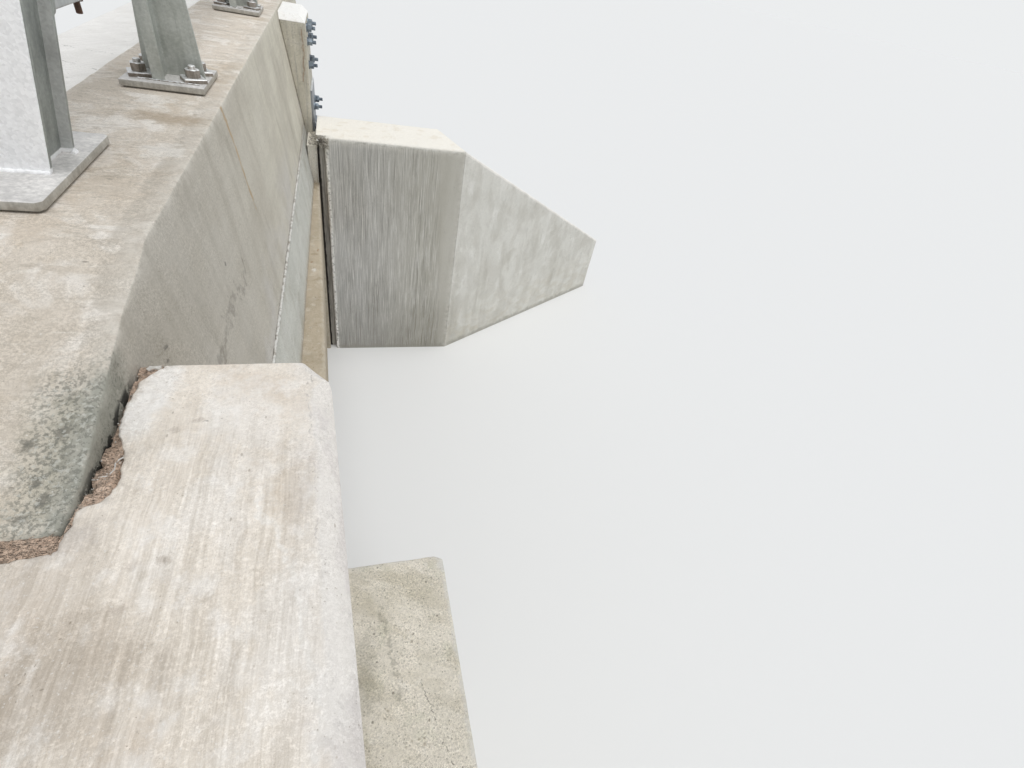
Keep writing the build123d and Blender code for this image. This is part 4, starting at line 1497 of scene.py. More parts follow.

# %% [markdown]
# The coping is trowelled and beige on top, with dirt at the ramp's foot, a darker strip
# along its stream edge and stains round the posts. The battered face under it is greyer,
# with a damp stain, a few dark spots and one rust streak. Holes at the foot of the ramp's
# side are painted near black as painted shade.

# %% Coping and upper lift
def coping_finish():
    s = Surface("coping_concrete", (0.735, 0.665, 0.58), (0.6, 0.54, 0.46), 1.6)
    upper = s.band(s.painted("top"), 0.3, 0.7)
    lower = s.rest(upper)
    s.lay(s.patches(5, 0.48, 0.62, warp=1.5), (0.87, 0.83, 0.775), 0.72)
    s.lay(s.patches(2.4, 0.52, 0.64, warp=1.2), (0.56, 0.465, 0.35), 0.62)
    s.lay(s.patches(11, 0.54, 0.66, (1, 2.2, 1), warp=1.2), (0.5, 0.445, 0.375), 0.55)
    s.tint(s.band(s.y, 0.8, 2.2), (1.13, 1.125, 1.12), 1)
    s.lay(s.patches(1, 0.55, 0.68, (9, 45, 9), warp=0.8), (0.47, 0.42, 0.35), 0.5)
    s.lay(s.patches(1, 0.56, 0.68, (14, 70, 14), warp=0.8), (0.82, 0.78, 0.71), 0.5)
    ramp = s.band(s.y, 0.5, 0.05)
    border_y = s.wander(s.y, 14, 0.1)
    s.lay((ramp, s.patches(9, 0.3, 0.6)), (0.6, 0.535, 0.45), 0.6)
    border = s.wander(s.x, 9, 0.045)
    strip = s.times(s.band(border, -0.072, -0.058), s.band(s.y, 1.9, 0.9, 0.35, 1))
    s.lay((strip, s.patches(30, 0.3, 0.5)), (0.53, 0.485, 0.42), 0.65)
    s.lay(s.spot((-0.13, 1.27, coping_z), (0.17, 0.075, 0.2), 0.9, 18), (0.44, 0.36, 0.27), 0.7)
    s.lay(s.spots(at(coping_z, (-0.24, 0.74), (-0.21, 1.45), (-0.08, 0.97)), (0.08, 0.1, 0.2), 0.9, 18),
          (0.86, 0.83, 0.78), 0.6)
    s.lay(s.spots(at(coping_z, (-0.22, 0.45), (-0.25, 2)), (0.1, 0.07, 0.2), 0.9, 18), (0.62, 0.52, 0.41),
          0.4)
    damp = s.times(s.band(s.y, 0.1, 0), s.band(border, -0.14, -0.04), s.band(s.z, 2.6, 2.62))
    s.lay((damp, s.patches(13, 0.22, 0.46)), (0.5, 0.475, 0.4), 0.8)
    wet = s.times(s.spot((0, -0.075, 2.65), (0.075, 0.21, 0.3), 0.7, 34), s.patches(44, 0.36, 0.5))
    s.lay(wet, (0.31, 0.305, 0.26), 0.85)
    s.lay((damp, s.patches(60, 0.54, 0.62)), (0.3, 0.29, 0.24), 0.7)
    s.lay((damp, s.nicks(210, 0.34, 0.15)), (0.8, 0.8, 0.76), 0.8)
    s.lay((damp, s.patches(130, 0.56, 0.64)), (0.2, 0.2, 0.17), 0.6)
    s.lay(s.path([(0, 0.205, 2.7), (0, 0.1, 2.655), (0, 0, 2.635)], 0.0035, 0.012),
          (0.13, 0.13, 0.11), 0.75)
    s.lay(s.path([(0, 0.2, 2.692), (0, 0.1, 2.648), (0, 0.01, 2.628)], 0.003, 0.012),
          (0.72, 0.71, 0.66), 0.6)
    s.lay((s.spot((0, 0.13, 2.7), (0.04, 0.1, 0.1), 0.6, 34), s.nicks(90, 0.5, 0.26)),
          (0.2, 0.2, 0.175), 0.8)
    s.lay((s.spot((-0.01, -0.03, 2.63), (0.03, 0.2, 0.03), 0.8, 34), s.patches(50, 0.35, 0.5)),
          (0.1, 0.105, 0.09), 0.85)
    s.lay(s.spots([(-0.096, -0.056, 2.65), (-0.055, -0.149, 2.62), (-0.069, -0.115, 2.63),
                   (-0.051, -0.034, 2.66), (-0.073, -0.178, near_top_z)], (0.014, 0.016, 0.1), 0.8, 60),
          (0.21, 0.2, 0.17), 0.85)
    s.tint(s.spot((-0.03, -0.06, 2.65), (0.16, 0.2, 0.3), 0.8, 18), (0.86, 0.85, 0.8), 0.35)
    s.lay(s.path(at(near_top_z, (-0.1, -0.185), (-0.017, -0.195)), 0.014, 0.008), (0.62, 0.58, 0.5), 0.7)
    for foot_y in (0.745, 1.88, 3.86, 5.84):
        s.tint(s.spot((-0.22, foot_y, 2.81), (0.24, 0.27, 0.3), 0.5, 18), (0.8, 0.74, 0.66), 0.4)
    s.lay((s.nicks(42, 0.36, 0.12, (0.45, 1.3, 1)), upper), (0.26, 0.23, 0.19), 0.85, -1.6)
    s.lay((s.nicks(95, 0.22, 0.15), upper), (0.34, 0.3, 0.25), 0.6)
    s.lay((s.nicks(70, 0.1, 0.14), upper), (0.78, 0.76, 0.72), 0.6)
    face_light = s.mix(s.band(s.y, 0.2, 3.2), (0.505, 0.475, 0.42), (0.63, 0.6, 0.505))
    cloudy = s.mix(s.times(s.patches(3, 0.4, 0.62, (1, 0.7, 1)), 0.5), face_light, (0.45, 0.415, 0.35))
    s.lay(lower, cloudy, 0.94)
    low_zone = s.times(lower, s.band(s.z, 2.38, 2.15), s.patches(2.6, 0.45, 0.6, (1, 0.6, 1)))
    s.lay(low_zone, (0.6, 0.58, 0.56), 0.45)
    s.tint((lower,
            s.path([(0.08, 1.065, 2.425), (0.09, 0.93, 2.36), (0.08, 0.855, 2.408), (0.08, 0.63, 2.424),
                    (0.09, 0.569, 2.385), (0.08, 0.475, 2.407)], 0.03, 0.05)), (0.68, 0.67, 0.67), 0.85)
    s.lay((lower,
           s.spots([(0.04, 0.306, 2.591), (0.04, 0.29, 2.562), (0.05, 0.854, 2.505)], (0.05, 0.011, 0.009),
                   0.8, 60)), (0.2, 0.19, 0.17), 0.8)
    s.lay((lower,
           s.path([(0, 1.474, 2.806), (0.01, 1.487, 2.755), (0.03, 1.494, 2.665), (0.05, 1.49, 2.553),
                   (0.08, 1.49, 2.4)], 0.02, 0.014)), (0.47, 0.34, 0.2), 0.8)
    side = s.times(lower, s.band(s.z, 2.76, 2.7), s.band(border_y, 0.17, 0.1), s.band(s.x, -0.12, -0.05))
    s.lay((side, s.patches(40, 0.26, 0.46)), (0.285, 0.285, 0.245), 0.85)
    s.lay((side, s.patches(110, 0.55, 0.64)), (0.12, 0.12, 0.1), 0.7)
    # Painted shade: holes at the foot of the ramp's side, where it meets the fibre strip, are painted near
    # black.
    s.lay((side, s.band(s.z, 2.642, 2.628), s.patches(34, 0.47, 0.54)), (0.03, 0.03, 0.025), 0.95)
    s.tint((lower, s.patches(1, 0.5, 0.66, (6, 6, 1.6), warp=0.5)), (0.8, 0.79, 0.77), 0.5)
    s.lines(70, 1.3, 0.35, 0, (0, pi / 2, 0), where=lower)
    s.lines(160, 4, 0.22, 0, (0, 0, 0.35), where=upper)
    s.grit(85, 0.35, 0.8, 0.2)
    s.runs((0.8, 0.79, 0.77), s.times(lower, 0.6), 7, 1.1)
    s.worn_edge((0.76, 0.72, 0.645), 0.42)
    foot_edge = s.times(s.painted("edge"), s.band(border_y, 0.13, 0.06), s.band(s.x, -0.12, -0.05))
    s.lay((foot_edge, s.patches(50, 0.3, 0.5)), (0.32, 0.32, 0.275), 0.85)
    grime = s.times(s.band(border_y, 0.14, 0.04), s.band(border, -0.125, -0.075), upper)
    s.lay((grime, s.patches(150, 0.5, 0.57)), (0.17, 0.17, 0.145), 0.6)
    s.lay((grime, s.patches(115, 0.56, 0.62)), (0.58, 0.575, 0.52), 0.55)
    return s.close((0.72, 0.92), 0.4, 0.002)


# %% [markdown]
# The lower lift is bluish grey. The culvert's own walls and its roof slab are older and
# brown, with pale crusts of lime and specks of rust on the ledge that shows.

# %% Lower lift and the culvert's walls
def fascia_finish():
    s = Surface("fascia_concrete", (0.62, 0.62, 0.57), (0.51, 0.51, 0.46), 1.4)
    s.lay(s.patches(7, 0.5, 0.66), (0.62, 0.615, 0.58), 0.5)
    s.lay(s.patches(4, 0.56, 0.68), (0.4, 0.375, 0.31), 0.5)
    s.lay(s.band(s.z, 1.99, 2.035), (0.38, 0.36, 0.32), 0.55)
    s.lay((s.band(s.z, 1.74, 1.685), s.patches(20, 0.35, 0.55)), (0.46, 0.4, 0.31), 0.65)
    s.lines(60, 1.2, 0.35, 0, (0, pi / 2, 0))
    s.lay(s.nicks(55, 0.16, 0.15), (0.25, 0.24, 0.21), 0.75, -1.2)
    s.grit(70, 0.4, 0.6, 0.2)
    s.runs((0.82, 0.8, 0.76), 0.5, 8, 1.2)
    return s.close((0.8, 0.95), 0.4, 0.002)


def old_finish():
    s = Surface("old_concrete", (0.56, 0.48, 0.365), (0.44, 0.375, 0.28), 1.8)
    s.lay(s.patches(13, 0.54, 0.68), (0.66, 0.6, 0.5), 0.6, 0.4)
    s.lay(s.patches(30, 0.6, 0.72), (0.66, 0.63, 0.57), 0.6, 0.5)
    s.lay(s.patches(9, 0.57, 0.7), (0.33, 0.25, 0.16), 0.55)
    s.lay(s.spots(at(ledge_z, (0.205, 2.388), (0.291, 1.831), (0.239, 2.554)), (0.012, 0.02, 0.05), 0.9,
                  60), RUST, 0.7)
    s.lay(s.spots(at(ledge_z, (0.22, 2.285), (0.318, 1.635), (0.309, 1.543)), (0.02, 0.03, 0.05), 0.9, 60),
          LIME, 0.6)
    s.lay(s.nicks(60, 0.25, 0.16), (0.2, 0.165, 0.12), 0.75, -1.2)
    s.lay(s.band(s.z, 1.55, 1.2), (0.3, 0.27, 0.21), 0.6)
    s.grit(55, 0.6, 0.8)
    s.runs((0.7, 0.67, 0.6), 0.7, 6, 0.8)
    s.worn_edge((0.55, 0.5, 0.41), 0.5)
    return s.close((0.8, 0.96), 0.55, 0.003)


# %% [markdown]
# The step wall is the roughest: pitted, a little green, with a crack and rubbed corners.
# The near wing wall was broomed, so it has fine streaks along +Y; it is palest in the sun
# beside the joint, browner where mud dried on it, and its stream edge is a chalky chamfer.

# %% Step wall and near wing wall
def step_finish():
    s = Surface("step_concrete", (0.93, 0.875, 0.77), (0.73, 0.685, 0.59), 2.2)
    s.lay(s.patches(10, 0.53, 0.66), (0.7, 0.68, 0.56), 0.5)
    s.lay(s.patches(24, 0.58, 0.7), (0.9, 0.865, 0.79), 0.5)
    s.lay(s.spot((0.425, -0.17, ledge_z), (0.05, 0.16, 0.1), 0.8, 18), (0.56, 0.53, 0.45), 0.6)
    s.lay(s.spot((0.712, 0.165, ledge_z), (0.03, 0.05, 0.1), 0.7, 40), (0.83, 0.81, 0.77), 0.7)
    s.lay(s.path(at(ledge_z, (0.588, -0.211), (0.62, -0.33), (0.656, -0.454)), 0.0022, 0.012),
          (0.2, 0.185, 0.15), 0.8)
    s.lay(s.path(at(ledge_z, (0.483, 0.028), (0.51, -0.1), (0.523, -0.254)), 0.012, 0.03),
          (0.37, 0.35, 0.29), 0.5)
    s.lay(s.nicks(48, 0.34, 0.17), (0.27, 0.25, 0.2), 0.75, -1.6)
    s.lay(s.nicks(110, 0.55, 0.24), (0.4, 0.37, 0.3), 0.7, -1)
    s.lay(s.patches(60, 0.58, 0.68), (0.5, 0.47, 0.39), 0.5)
    s.lay(s.band(s.z, 1.5, 0.9), (0.42, 0.4, 0.34), 0.55)
    s.grit(60, 0.9, 1, 0.3)
    s.runs((0.72, 0.7, 0.63), 0.7, 7, 0.9)
    s.worn_edge((0.72, 0.7, 0.65), 0.55)
    return s.close((0.8, 0.96), 0.6, 0.003)


def slab_finish():
    s = Surface("slab_concrete", (0.97, 0.9, 0.81), (0.84, 0.765, 0.67), 1.9)
    s.lay(s.patches(5, 0.48, 0.64, (1, 0.7, 1), warp=0.3), (0.75, 0.65, 0.54), 0.65)
    s.lay(s.patches(9, 0.5, 0.64, (1, 0.6, 1), warp=0.2), (0.96, 0.92, 0.87), 0.55)
    s.lay(s.patches(30, 0.58, 0.68, (1, 0.6, 1)), (0.63, 0.565, 0.48), 0.4)
    upper = s.band(s.painted("top"), 0.55, 0.95)
    streaks = s.noise(s.mapped(s.place, (55, 3.2, 3)), 1, 5, 0.6)
    s.lay((s.band(s.x, 0.16, -0.12), s.band(s.y, 0.02, -0.3), s.band(streaks, 0.25, 0.6, 0.6, 1)),
          (0.625, 0.55, 0.47), 0.8)
    s.lay((s.spot((0.08, -0.44, near_top_z), (0.16, 0.11, 0.3), 0.6, 16), s.band(streaks, 0.3, 0.6)),
          (0.55, 0.485, 0.41), 0.6)
    s.lay(s.spot((0.315, -0.155, near_top_z), (0.055, 0.1, 0.3), 0.8, 16), (0.66, 0.56, 0.44), 0.55)
    s.lay(s.spots(at(near_top_z, (0.2, 0.05), (0.22, 0)), (0.1, 0.12, 0.3), 0.8, 16), (0.95, 0.91, 0.86),
          0.6)
    s.lay(s.spots(at(near_top_z, (0.045, 0.16), (0.03, 0.09), (0.02, 0.03)), (0.055, 0.075, 0.3), 0.5, 16),
          (0.99, 0.97, 0.94), 0.85)
    s.lay(s.spot((0.32, -0.39, near_top_z), (0.07, 0.13, 0.3), 0.8, 16), (0.96, 0.92, 0.87), 0.6)
    s.lay(s.spot((-0.004, -0.215, near_top_z), (0.05, 0.05, 0.3), 0.8, 16), (0.6, 0.55, 0.51), 0.5)
    s.lay(s.spots(at(near_top_z, (0.098, -0.276), (0.135, -0.273), (0.09, -0.344), (0.098, 0.005),
                     (0.134, 0.029)), (0.014, 0.012, 0.1), 0.9, 60), (0.6, 0.53, 0.46), 0.55)
    broomed = s.times(upper, s.band(s.plus(s.y, s.noise(s.place, 5, 3)), 0.62, 0.28, 0.3, 1))
    s.lines(300, 7, 1, 0.6, dark=(0.76, 0.74, 0.71), where=broomed)
    s.lines(110, 3, 0.4, 0, where=broomed)
    s.lay((upper, s.patches(70, 0.56, 0.66)), (0.7, 0.635, 0.56), 0.4)
    s.lay((upper, s.patches(16, 0.5, 0.68, (1, 0.7, 1), warp=0.1)), (0.99, 0.955, 0.91), 0.5)
    s.lay((upper, s.patches(240, 0.6, 0.68)), (0.99, 0.965, 0.93), 0.5)
    s.lay(s.path(at(near_top_z, (0.252, -0.177), (0.289, -0.242), (0.333, -0.371), (0.371, -0.585)), 0.01,
                 0.02), (0.95, 0.92, 0.87), 0.5)
    s.lay(s.path(at(near_top_z, (0.142, 0.023), (0.162, 0.026), (0.186, 0.036)), 0.0022, 0.008),
          (0.3, 0.27, 0.24), 0.75)
    s.lay(s.path(at(near_top_z, (0.333, 0.183), (0.339, 0.104)), 0.002, 0.01), (0.35, 0.31, 0.27), 0.8)
    s.lay(s.path(at(near_top_z, (0.322, 0.15), (0.338, 0), (0.35, -0.15), (0.362, -0.3), (0.378, -0.439),
                    (0.389, -0.589)), 0.0026, 0.014), (0.46, 0.41, 0.38), 0.7)
    chamfer = s.times(s.painted("edge"), s.band(s.x, 0.28, 0.31), s.band(s.z, 2.5, 2.56))
    s.lay(chamfer, (0.85, 0.815, 0.77), 0.85)
    s.lay((chamfer, s.patches(9, 0.5, 0.64, (1, 0.5, 1))), (0.66, 0.61, 0.59), 0.5)
    s.lay((chamfer, s.patches(40, 0.56, 0.66)), (0.6, 0.565, 0.53), 0.4)
    s.lay(s.nicks(60, 0.14, 0.12, (1, 0.5, 1)), (0.42, 0.37, 0.31), 0.65, -1.2)
    s.lay(s.nicks(130, 0.22, 0.18), (0.52, 0.46, 0.39), 0.5)
    broken = s.times(s.painted("edge"), s.band(s.x, 0.1, 0.05))
    s.lay((broken, s.patches(45, 0.45, 0.6)), (0.55, 0.5, 0.44), 0.5)
    s.lay(s.band(s.z, 2.5, 2.3), (0.5, 0.475, 0.43), 0.6)
    s.grit(95, 0.5, 0.8, 0.13)
    s.runs((0.78, 0.76, 0.71), s.times(s.band(s.z, 2.55, 2.45), 0.7), 8, 0.9)
    return s.close((0.74, 0.93), 0.5, 0.002)


# %% [markdown]
# The far wing wall has close upright streaks from its boards, a damp hem at the bottom and
# a bright top. Its flare was cast in smoother forms and is paler, with soft smudges.

# %% Far wing wall and road strip
def wing_finish():
    s = Surface("wing_concrete", (0.745, 0.735, 0.685), (0.65, 0.64, 0.59), 1)
    lower = s.band(s.painted("top"), 0.7, 0.3)
    flare = s.band(s.x, 1.405, 1.425)
    border = s.plus(s.x, s.times(s.z, 0.082))
    boarded = s.times(s.rest(s.band(border, 1.33, 1.4)), lower)
    wall = s.rest(flare)
    s.lay(s.patches(3.2, 0.48, 0.64, warp=0.5), (0.6, 0.58, 0.525), 0.55)
    s.lay(s.patches(11, 0.56, 0.7, (1, 1, 0.6), warp=0.4), (0.54, 0.53, 0.49), 0.4)
    s.lay(s.patches(5.5, 0.52, 0.66, (1, 1, 0.7), warp=0.4), (0.83, 0.82, 0.78), 0.6)
    plain = s.mix(s.band(s.x, 0.5, 1.22), (0.49, 0.483, 0.46), (0.5, 0.485, 0.43))
    s.lay((wall, lower), plain, 0.95)
    s.lay((wall, lower, s.band(border, 1.28, 1.42)), (0.585, 0.57, 0.515), 0.9)
    streak = s.noise(s.mapped(s.place, (95, 95, 1.6)), 1, 6, 0.66)
    uneven = s.band(s.noise(s.mapped(s.place, (5, 5, 2.5)), 1, 4), 0.35, 0.65, 0.35, 1)
    dark = s.times(boarded, uneven, s.band(streak, 0.45, 0.62))
    s.tint(dark, (0.6, 0.59, 0.575), 0.85)
    pale = s.noise(s.mapped(s.place, (170, 170, 4)), 1, 5, 0.66)
    s.lay((boarded, s.band(pale, 0.5, 0.6)), (0.74, 0.73, 0.695), 0.7)
    s.tint((lower, s.band(pale, 0.42, 0.3), flare), (0.8, 0.79, 0.77), 0.35)
    s.tint((lower, s.band(s.z, 0.9, 0), s.band(s.x, 1.8, 1.3)), (0.7, 0.69, 0.67), 0.9)
    s.lay((lower, flare, s.band(s.z, 0.7, 0.1), s.patches(7, 0.42, 0.62, (1, 1, 2), warp=0.3)),
          (0.56, 0.52, 0.43), 0.5)
    hem = s.less(s.z, s.times(s.patches(14, 0.3, 0.7), 0.04))
    s.lay((lower, s.band(hem, 0.05, 0)), (0.33, 0.32, 0.28), 0.7)
    s.lay((lower, s.band(s.z, 2.00, 2.07)), (0.66, 0.64, 0.58), 0.35)
    lid = s.rest(lower)
    s.lay(lid, (0.97, 0.93, 0.85), 0.92)
    s.lay((lid, s.patches(9, 0.54, 0.66)), (0.78, 0.7, 0.57), 0.4)
    s.lay((s.band(s.x, 0.322, 0.306), lower, s.patches(48, 0.42, 0.5)), (1, 0.98, 0.94), 0.95, 0.8)
    along = s.plus(s.times(s.less(s.x, wing_x1), flare_dir.x), s.times(s.less(s.y, wing_y0), flare_dir.y))
    under_top = s.plus(s.z, s.times(along, (wing_hi.z - flare_end_z) / flare_len))
    rim = s.band(s.less(under_top, s.times(s.patches(20, 0.3, 0.7), 0.006)), wing_hi.z - 0.03,
                 wing_hi.z - 0.02)
    s.lay((flare, rim), (0.97, 0.945, 0.89), 0.85)
    s.lay(s.path([(0.3, 3.645, 2.052), (0.62, 3.645, 2.056), (1, 3.645, 2.055), (1.38, 3.645, 2.052)],
                 0.0035, 0.02), (0.27, 0.26, 0.23), 0.8)
    s.lay((lower, s.patches(4, 0.44, 0.6, (1.6, 1.6, 0.7), warp=0.3), s.band(border, 1.28, 1.42)),
          (0.53, 0.51, 0.455), 0.4)
    s.lay((lower, s.nicks(40, 0.14, 0.1, (1, 1, 0.5))), (0.27, 0.26, 0.24), 0.7, -1.2)
    s.lay((lower, s.nicks(90, 0.1, 0.14)), (0.78, 0.77, 0.74), 0.5)
    s.grit(80, 0.4, 0.7, 0.16)
    s.runs((0.8, 0.79, 0.76), s.times(lower, 0.6), 5, 0.5)
    s.worn_edge((0.78, 0.76, 0.71), 0.5)
    return s.close((0.8, 0.95), 0.4, 0.002)


def strip_finish():
    s = Surface("strip_concrete", (0.97, 0.955, 0.93), (0.86, 0.84, 0.81), 2)
    warm, cool, faint = (0.3, 0.28, 0.26), (0.3, 0.29, 0.27), (0.34, 0.33, 0.31)
    for places, width, wander, color, amount in (
            [((-1, 3.01), (-0.86, 2.97), (-0.74, 2.95)), 0.006, 0.03, cool, 0.8],
            [((-0.92, 2.68), (-0.83, 2.62), (-0.73, 2.59)), 0.006, 0.03, cool, 0.8],
            [((-0.85, 2.4), (-0.72, 2.37)), 0.005, 0.03, faint, 0.7],
            [((-0.602, 1.915), (-0.595, 2.244), (-0.557, 2.544)), 0.005, 0.02, warm, 0.8],
            [((-0.54, 1.744), (-0.517, 1.962), (-0.478, 2.118)), 0.005, 0.02, warm, 0.8],
            [((-0.53, 1.653), (-0.5, 1.755), (-0.461, 1.817)), 0.004, 0.02, (0.34, 0.32, 0.29), 0.7]):
        s.lay(s.path(at(strip_hi.z, *places), width, wander), color, amount, -1)
    s.lines(90, 4, 0.4, 0.3, (0, 0, 0.5))
    s.lay(s.nicks(50, 0.2, 0.14), (0.36, 0.34, 0.31), 0.7, -1)
    s.grit(70, 0.4, 0.7)
    s.worn_edge((0.72, 0.71, 0.68), 0.4)
    return s.close((0.8, 0.95), 0.4, 0.002)


# %% [markdown]
# The pilaster is rough and dark with grey streaks and one rust streak; its top course is
# smooth and nearly white.

# %% Pilaster, its top course, fibre and mortar
def pilaster_finish():
    s = Surface("pilaster_concrete", (0.74, 0.7, 0.6), (0.57, 0.54, 0.45), 2)
    streak = s.noise(s.mapped(s.place, (34, 34, 2.2)), 1, 6, 0.64)
    s.lay(s.band(streak, 0.48, 0.68), (0.4, 0.39, 0.35), 0.6)
    s.lay(s.patches(12, 0.57, 0.7), (0.66, 0.63, 0.57), 0.5, 0.4)
    s.lay(s.path([(0.16, 4.055, 2.7), (0.165, 4.055, 2.55), (0.15, 4.055, 2.35)], 0.01, 0.012), RUST, 0.55)
    for up in (2.575, 2.733, 1.985, 2.15):
        s.lay((s.path([(0.19, 4.2, up), (0.19, 4.2, up - 0.22)], 0.016, 0.012), s.patches(25, 0.4, 0.6)),
              RUST, 0.5)
    s.lay(s.nicks(45, 0.3, 0.16), (0.2, 0.19, 0.16), 0.75, -1.5)
    s.lay(s.band(s.z, 1, 0.2), (0.34, 0.33, 0.29), 0.6)
    s.grit(50, 0.8, 0.9, 0.2)
    s.runs((0.66, 0.64, 0.6), 0.8, 9, 1)
    return s.close((0.82, 0.96), 0.6, 0.003)


def cap_finish():
    s = Surface("cap_concrete", (1, 0.99, 0.96), (0.97, 0.955, 0.92), 2.5)
    s.lay(s.patches(20, 0.56, 0.7), (0.74, 0.7, 0.63), 0.35)
    s.lay(s.nicks(70, 0.18, 0.14), (0.45, 0.42, 0.37), 0.6, -1)
    s.grit(90, 0.25, 0.4)
    return s.close((0.7, 0.9), 0.3, 0.0015)


def fibre_finish():
    s = Surface("fibre_board", (0.74, 0.565, 0.44), (0.45, 0.335, 0.25), 6)
    flecks = s.noise(s.mapped(s.place, (520, 150, 150), (0.3, 0.2, 0.7)), 1, 4, 0.7)
    s.lay(s.band(flecks, 0.52, 0.66), (0.85, 0.7, 0.56), 0.7, 0.8)
    other = s.noise(s.mapped(s.place, (140, 560, 140), (0.2, 0.1, -0.4)), 1, 4, 0.7)
    s.lay(s.band(other, 0.48, 0.36), (0.09, 0.065, 0.05), 0.75, -0.8)
    s.lay(s.patches(35, 0.6, 0.72), (0.6, 0.55, 0.48), 0.6, 0.4)
    s.lay(s.rest(s.painted("top")), (0.78, 0.63, 0.48), 0.6)
    # Painted shade: fibre lower than 2.592 m is painted nearly black. In the near joint that is only the deep
    # gaps along its sides.
    s.lay(s.band(s.z, 2.602, 2.592), (0.03, 0.025, 0.02), 0.92)
    # Painted shade: in the far joint the fibre board is painted nearly black, as the shade in the deep gap
    # between the wing wall and the pilaster. Only a strip at the front of the board head keeps a board
    # colour.
    far = s.band(s.y, 1.5, 2.5)
    s.lay(far, (0.035, 0.03, 0.026), 0.96)
    wandering = s.plus(s.x, s.times(s.noise(s.place, 16, 3), 0.016))
    board = s.times(far, s.band(wandering, 0.252, 0.256), s.band(s.y, 3.75, 3.72))
    s.lay(board, s.mix(s.patches(1, 0.4, 0.6, (90, 90, 6)), (0.5, 0.475, 0.43), (0.32, 0.3, 0.27)), 0.95)
    return s.close((0.88, 1), 0.9, 0.003)


def mortar_finish():
    s = Surface("mortar", (0.42, 0.4, 0.36), (0.24, 0.225, 0.19), 5)
    s.lay((s.band(s.x, -0.02, 0), s.band(s.y, 0.4, 0.3)),
          s.mix(s.patches(60, 0.35, 0.6), (0.6, 0.57, 0.52), LIME), 0.95)
    joint = s.times(s.band(s.x, 0.03, 0.06), s.band(s.y, 0.18, 0.22))
    far = s.mix(s.band(s.y, 2.8, 3.6), (0.76, 0.75, 0.71), (0.46, 0.43, 0.38))
    deep = s.mix(s.band(s.y, 3.6, 3.65), (0.38, 0.35, 0.3), (0.15, 0.135, 0.115))
    s.lay(joint, s.mix(s.patches(22, 0.48, 0.62), far, deep), 0.95)
    s.grit(120, 0.5, 0.9)
    return s.close((0.85, 0.98), 0.6, 0.002)


# %% [markdown]
# ## Steel finishes
# All the steel is galvanized and weathered. Faces towards the eye of the end post are
# nearly white: white zinc oxide with a painted reflection of the sky. The standing posts are
# greenish grey. Bolt ends and plates are pale on top, a painted reflection of the sky, and
# the bolt ends are brown on their sides.

# %% Galvanized steel
def zinc_finish(name, light, dark, rust=0.3, metal=0.5, rough=(0.38, 0.62), sky_lit_tops=None, bloomed_and_sky_lit=None,
                far=None):
    """Old zinc.

    `sky_lit_tops` is the pale colour painted on tops as a reflection of the sky, `bloomed_and_sky_lit` that
    of the end post's front, white zinc oxide with a painted reflection of the sky, and `far` holds
    the borders in y and the two colours of what stands farther away.
    """
    material, r, shader, place = start_material(name)
    x, y, z = r.parts(place)
    _, ny, nz = r.parts(r.node("ShaderNodeNewGeometry")["Normal"])
    # Faces that look up are painted paler: a painted reflection of the bright sky on the tops.
    if sky_lit_tops:
        upper = r.band(nz, 0.35, 0.75)
        light = r.mix(upper, light, sky_lit_tops)
        dark = r.mix(upper, dark, tuple(0.72 * c for c in sky_lit_tops))
    if far:
        beyond = r.band(y, *far[0])
        light = r.mix(beyond, light, far[1])
        dark = r.mix(beyond, dark, far[2])
    # The end post's faces towards the eye and its foot are painted nearly white: white zinc oxide with a
    # painted reflection of the sky on it. Front faces farther back get less of it, and there the steel is
    # less metallic.
    if bloomed_and_sky_lit:
        foot = r.band(z, 2.845, 2.84)
        front = r.times(r.band(ny, -0.45, -0.8), r.band(y, 0.76, 0.72, 0.35, 1.0))
        bloom = r.times(r.math("MAXIMUM", front, foot), r.band(y, 1.3, 1.1))
        light = r.mix(bloom, light, bloomed_and_sky_lit)
        dark = r.mix(bloom, dark, tuple(0.93 * c for c in bloomed_and_sky_lit))
        metal = r.times(r.rest(bloom), metal)
    zinc = r.group(old_zinc, Place=place, Light=light, Dark=dark, Rust=rust)
    r.put(shader["Base Color"], zinc["Tone"])
    r.put(shader["Metallic"], r.times(r.rest(zinc["Rust mask"]), metal))
    r.put(shader["Roughness"], r.plus(r.band(zinc["Cloud"], 0, 1, *rough), r.times(zinc["Rust mask"], 0.3)))
    r.put(shader["Normal"], r.bump(zinc["Height"], 0.2, 0.0008))
    return material


# %% Rusted steel
def rust_finish():
    """Brown scale with orange grains."""
    material, r, shader, place = start_material("rusty_steel")
    scale = r.group(cloudy_tone, Place=place, Light=(0.17, 0.095, 0.065), Dark=(0.06, 0.035, 0.028),
                    Size=9.0, Depth=1.0)
    grain = r.noise(place, 260.0, 5, 0.7)
    r.put(shader["Base Color"], r.mix(r.band(grain, 0.55, 0.7), scale["Tone"], (0.3, 0.17, 0.09)))
    r.put(shader["Roughness"], r.band(grain, 0.3, 0.7, 0.75, 0.95))
    r.put(shader["Normal"], r.bump(grain, 0.6, 0.001))
    return material


# %% All the finishes
for make in (coping_finish, fascia_finish, old_finish, step_finish, wing_finish, slab_finish, strip_finish,
             pilaster_finish, cap_finish, fibre_finish, mortar_finish):
    made = make()
    finishes[made.name.partition(".")[0]] = made
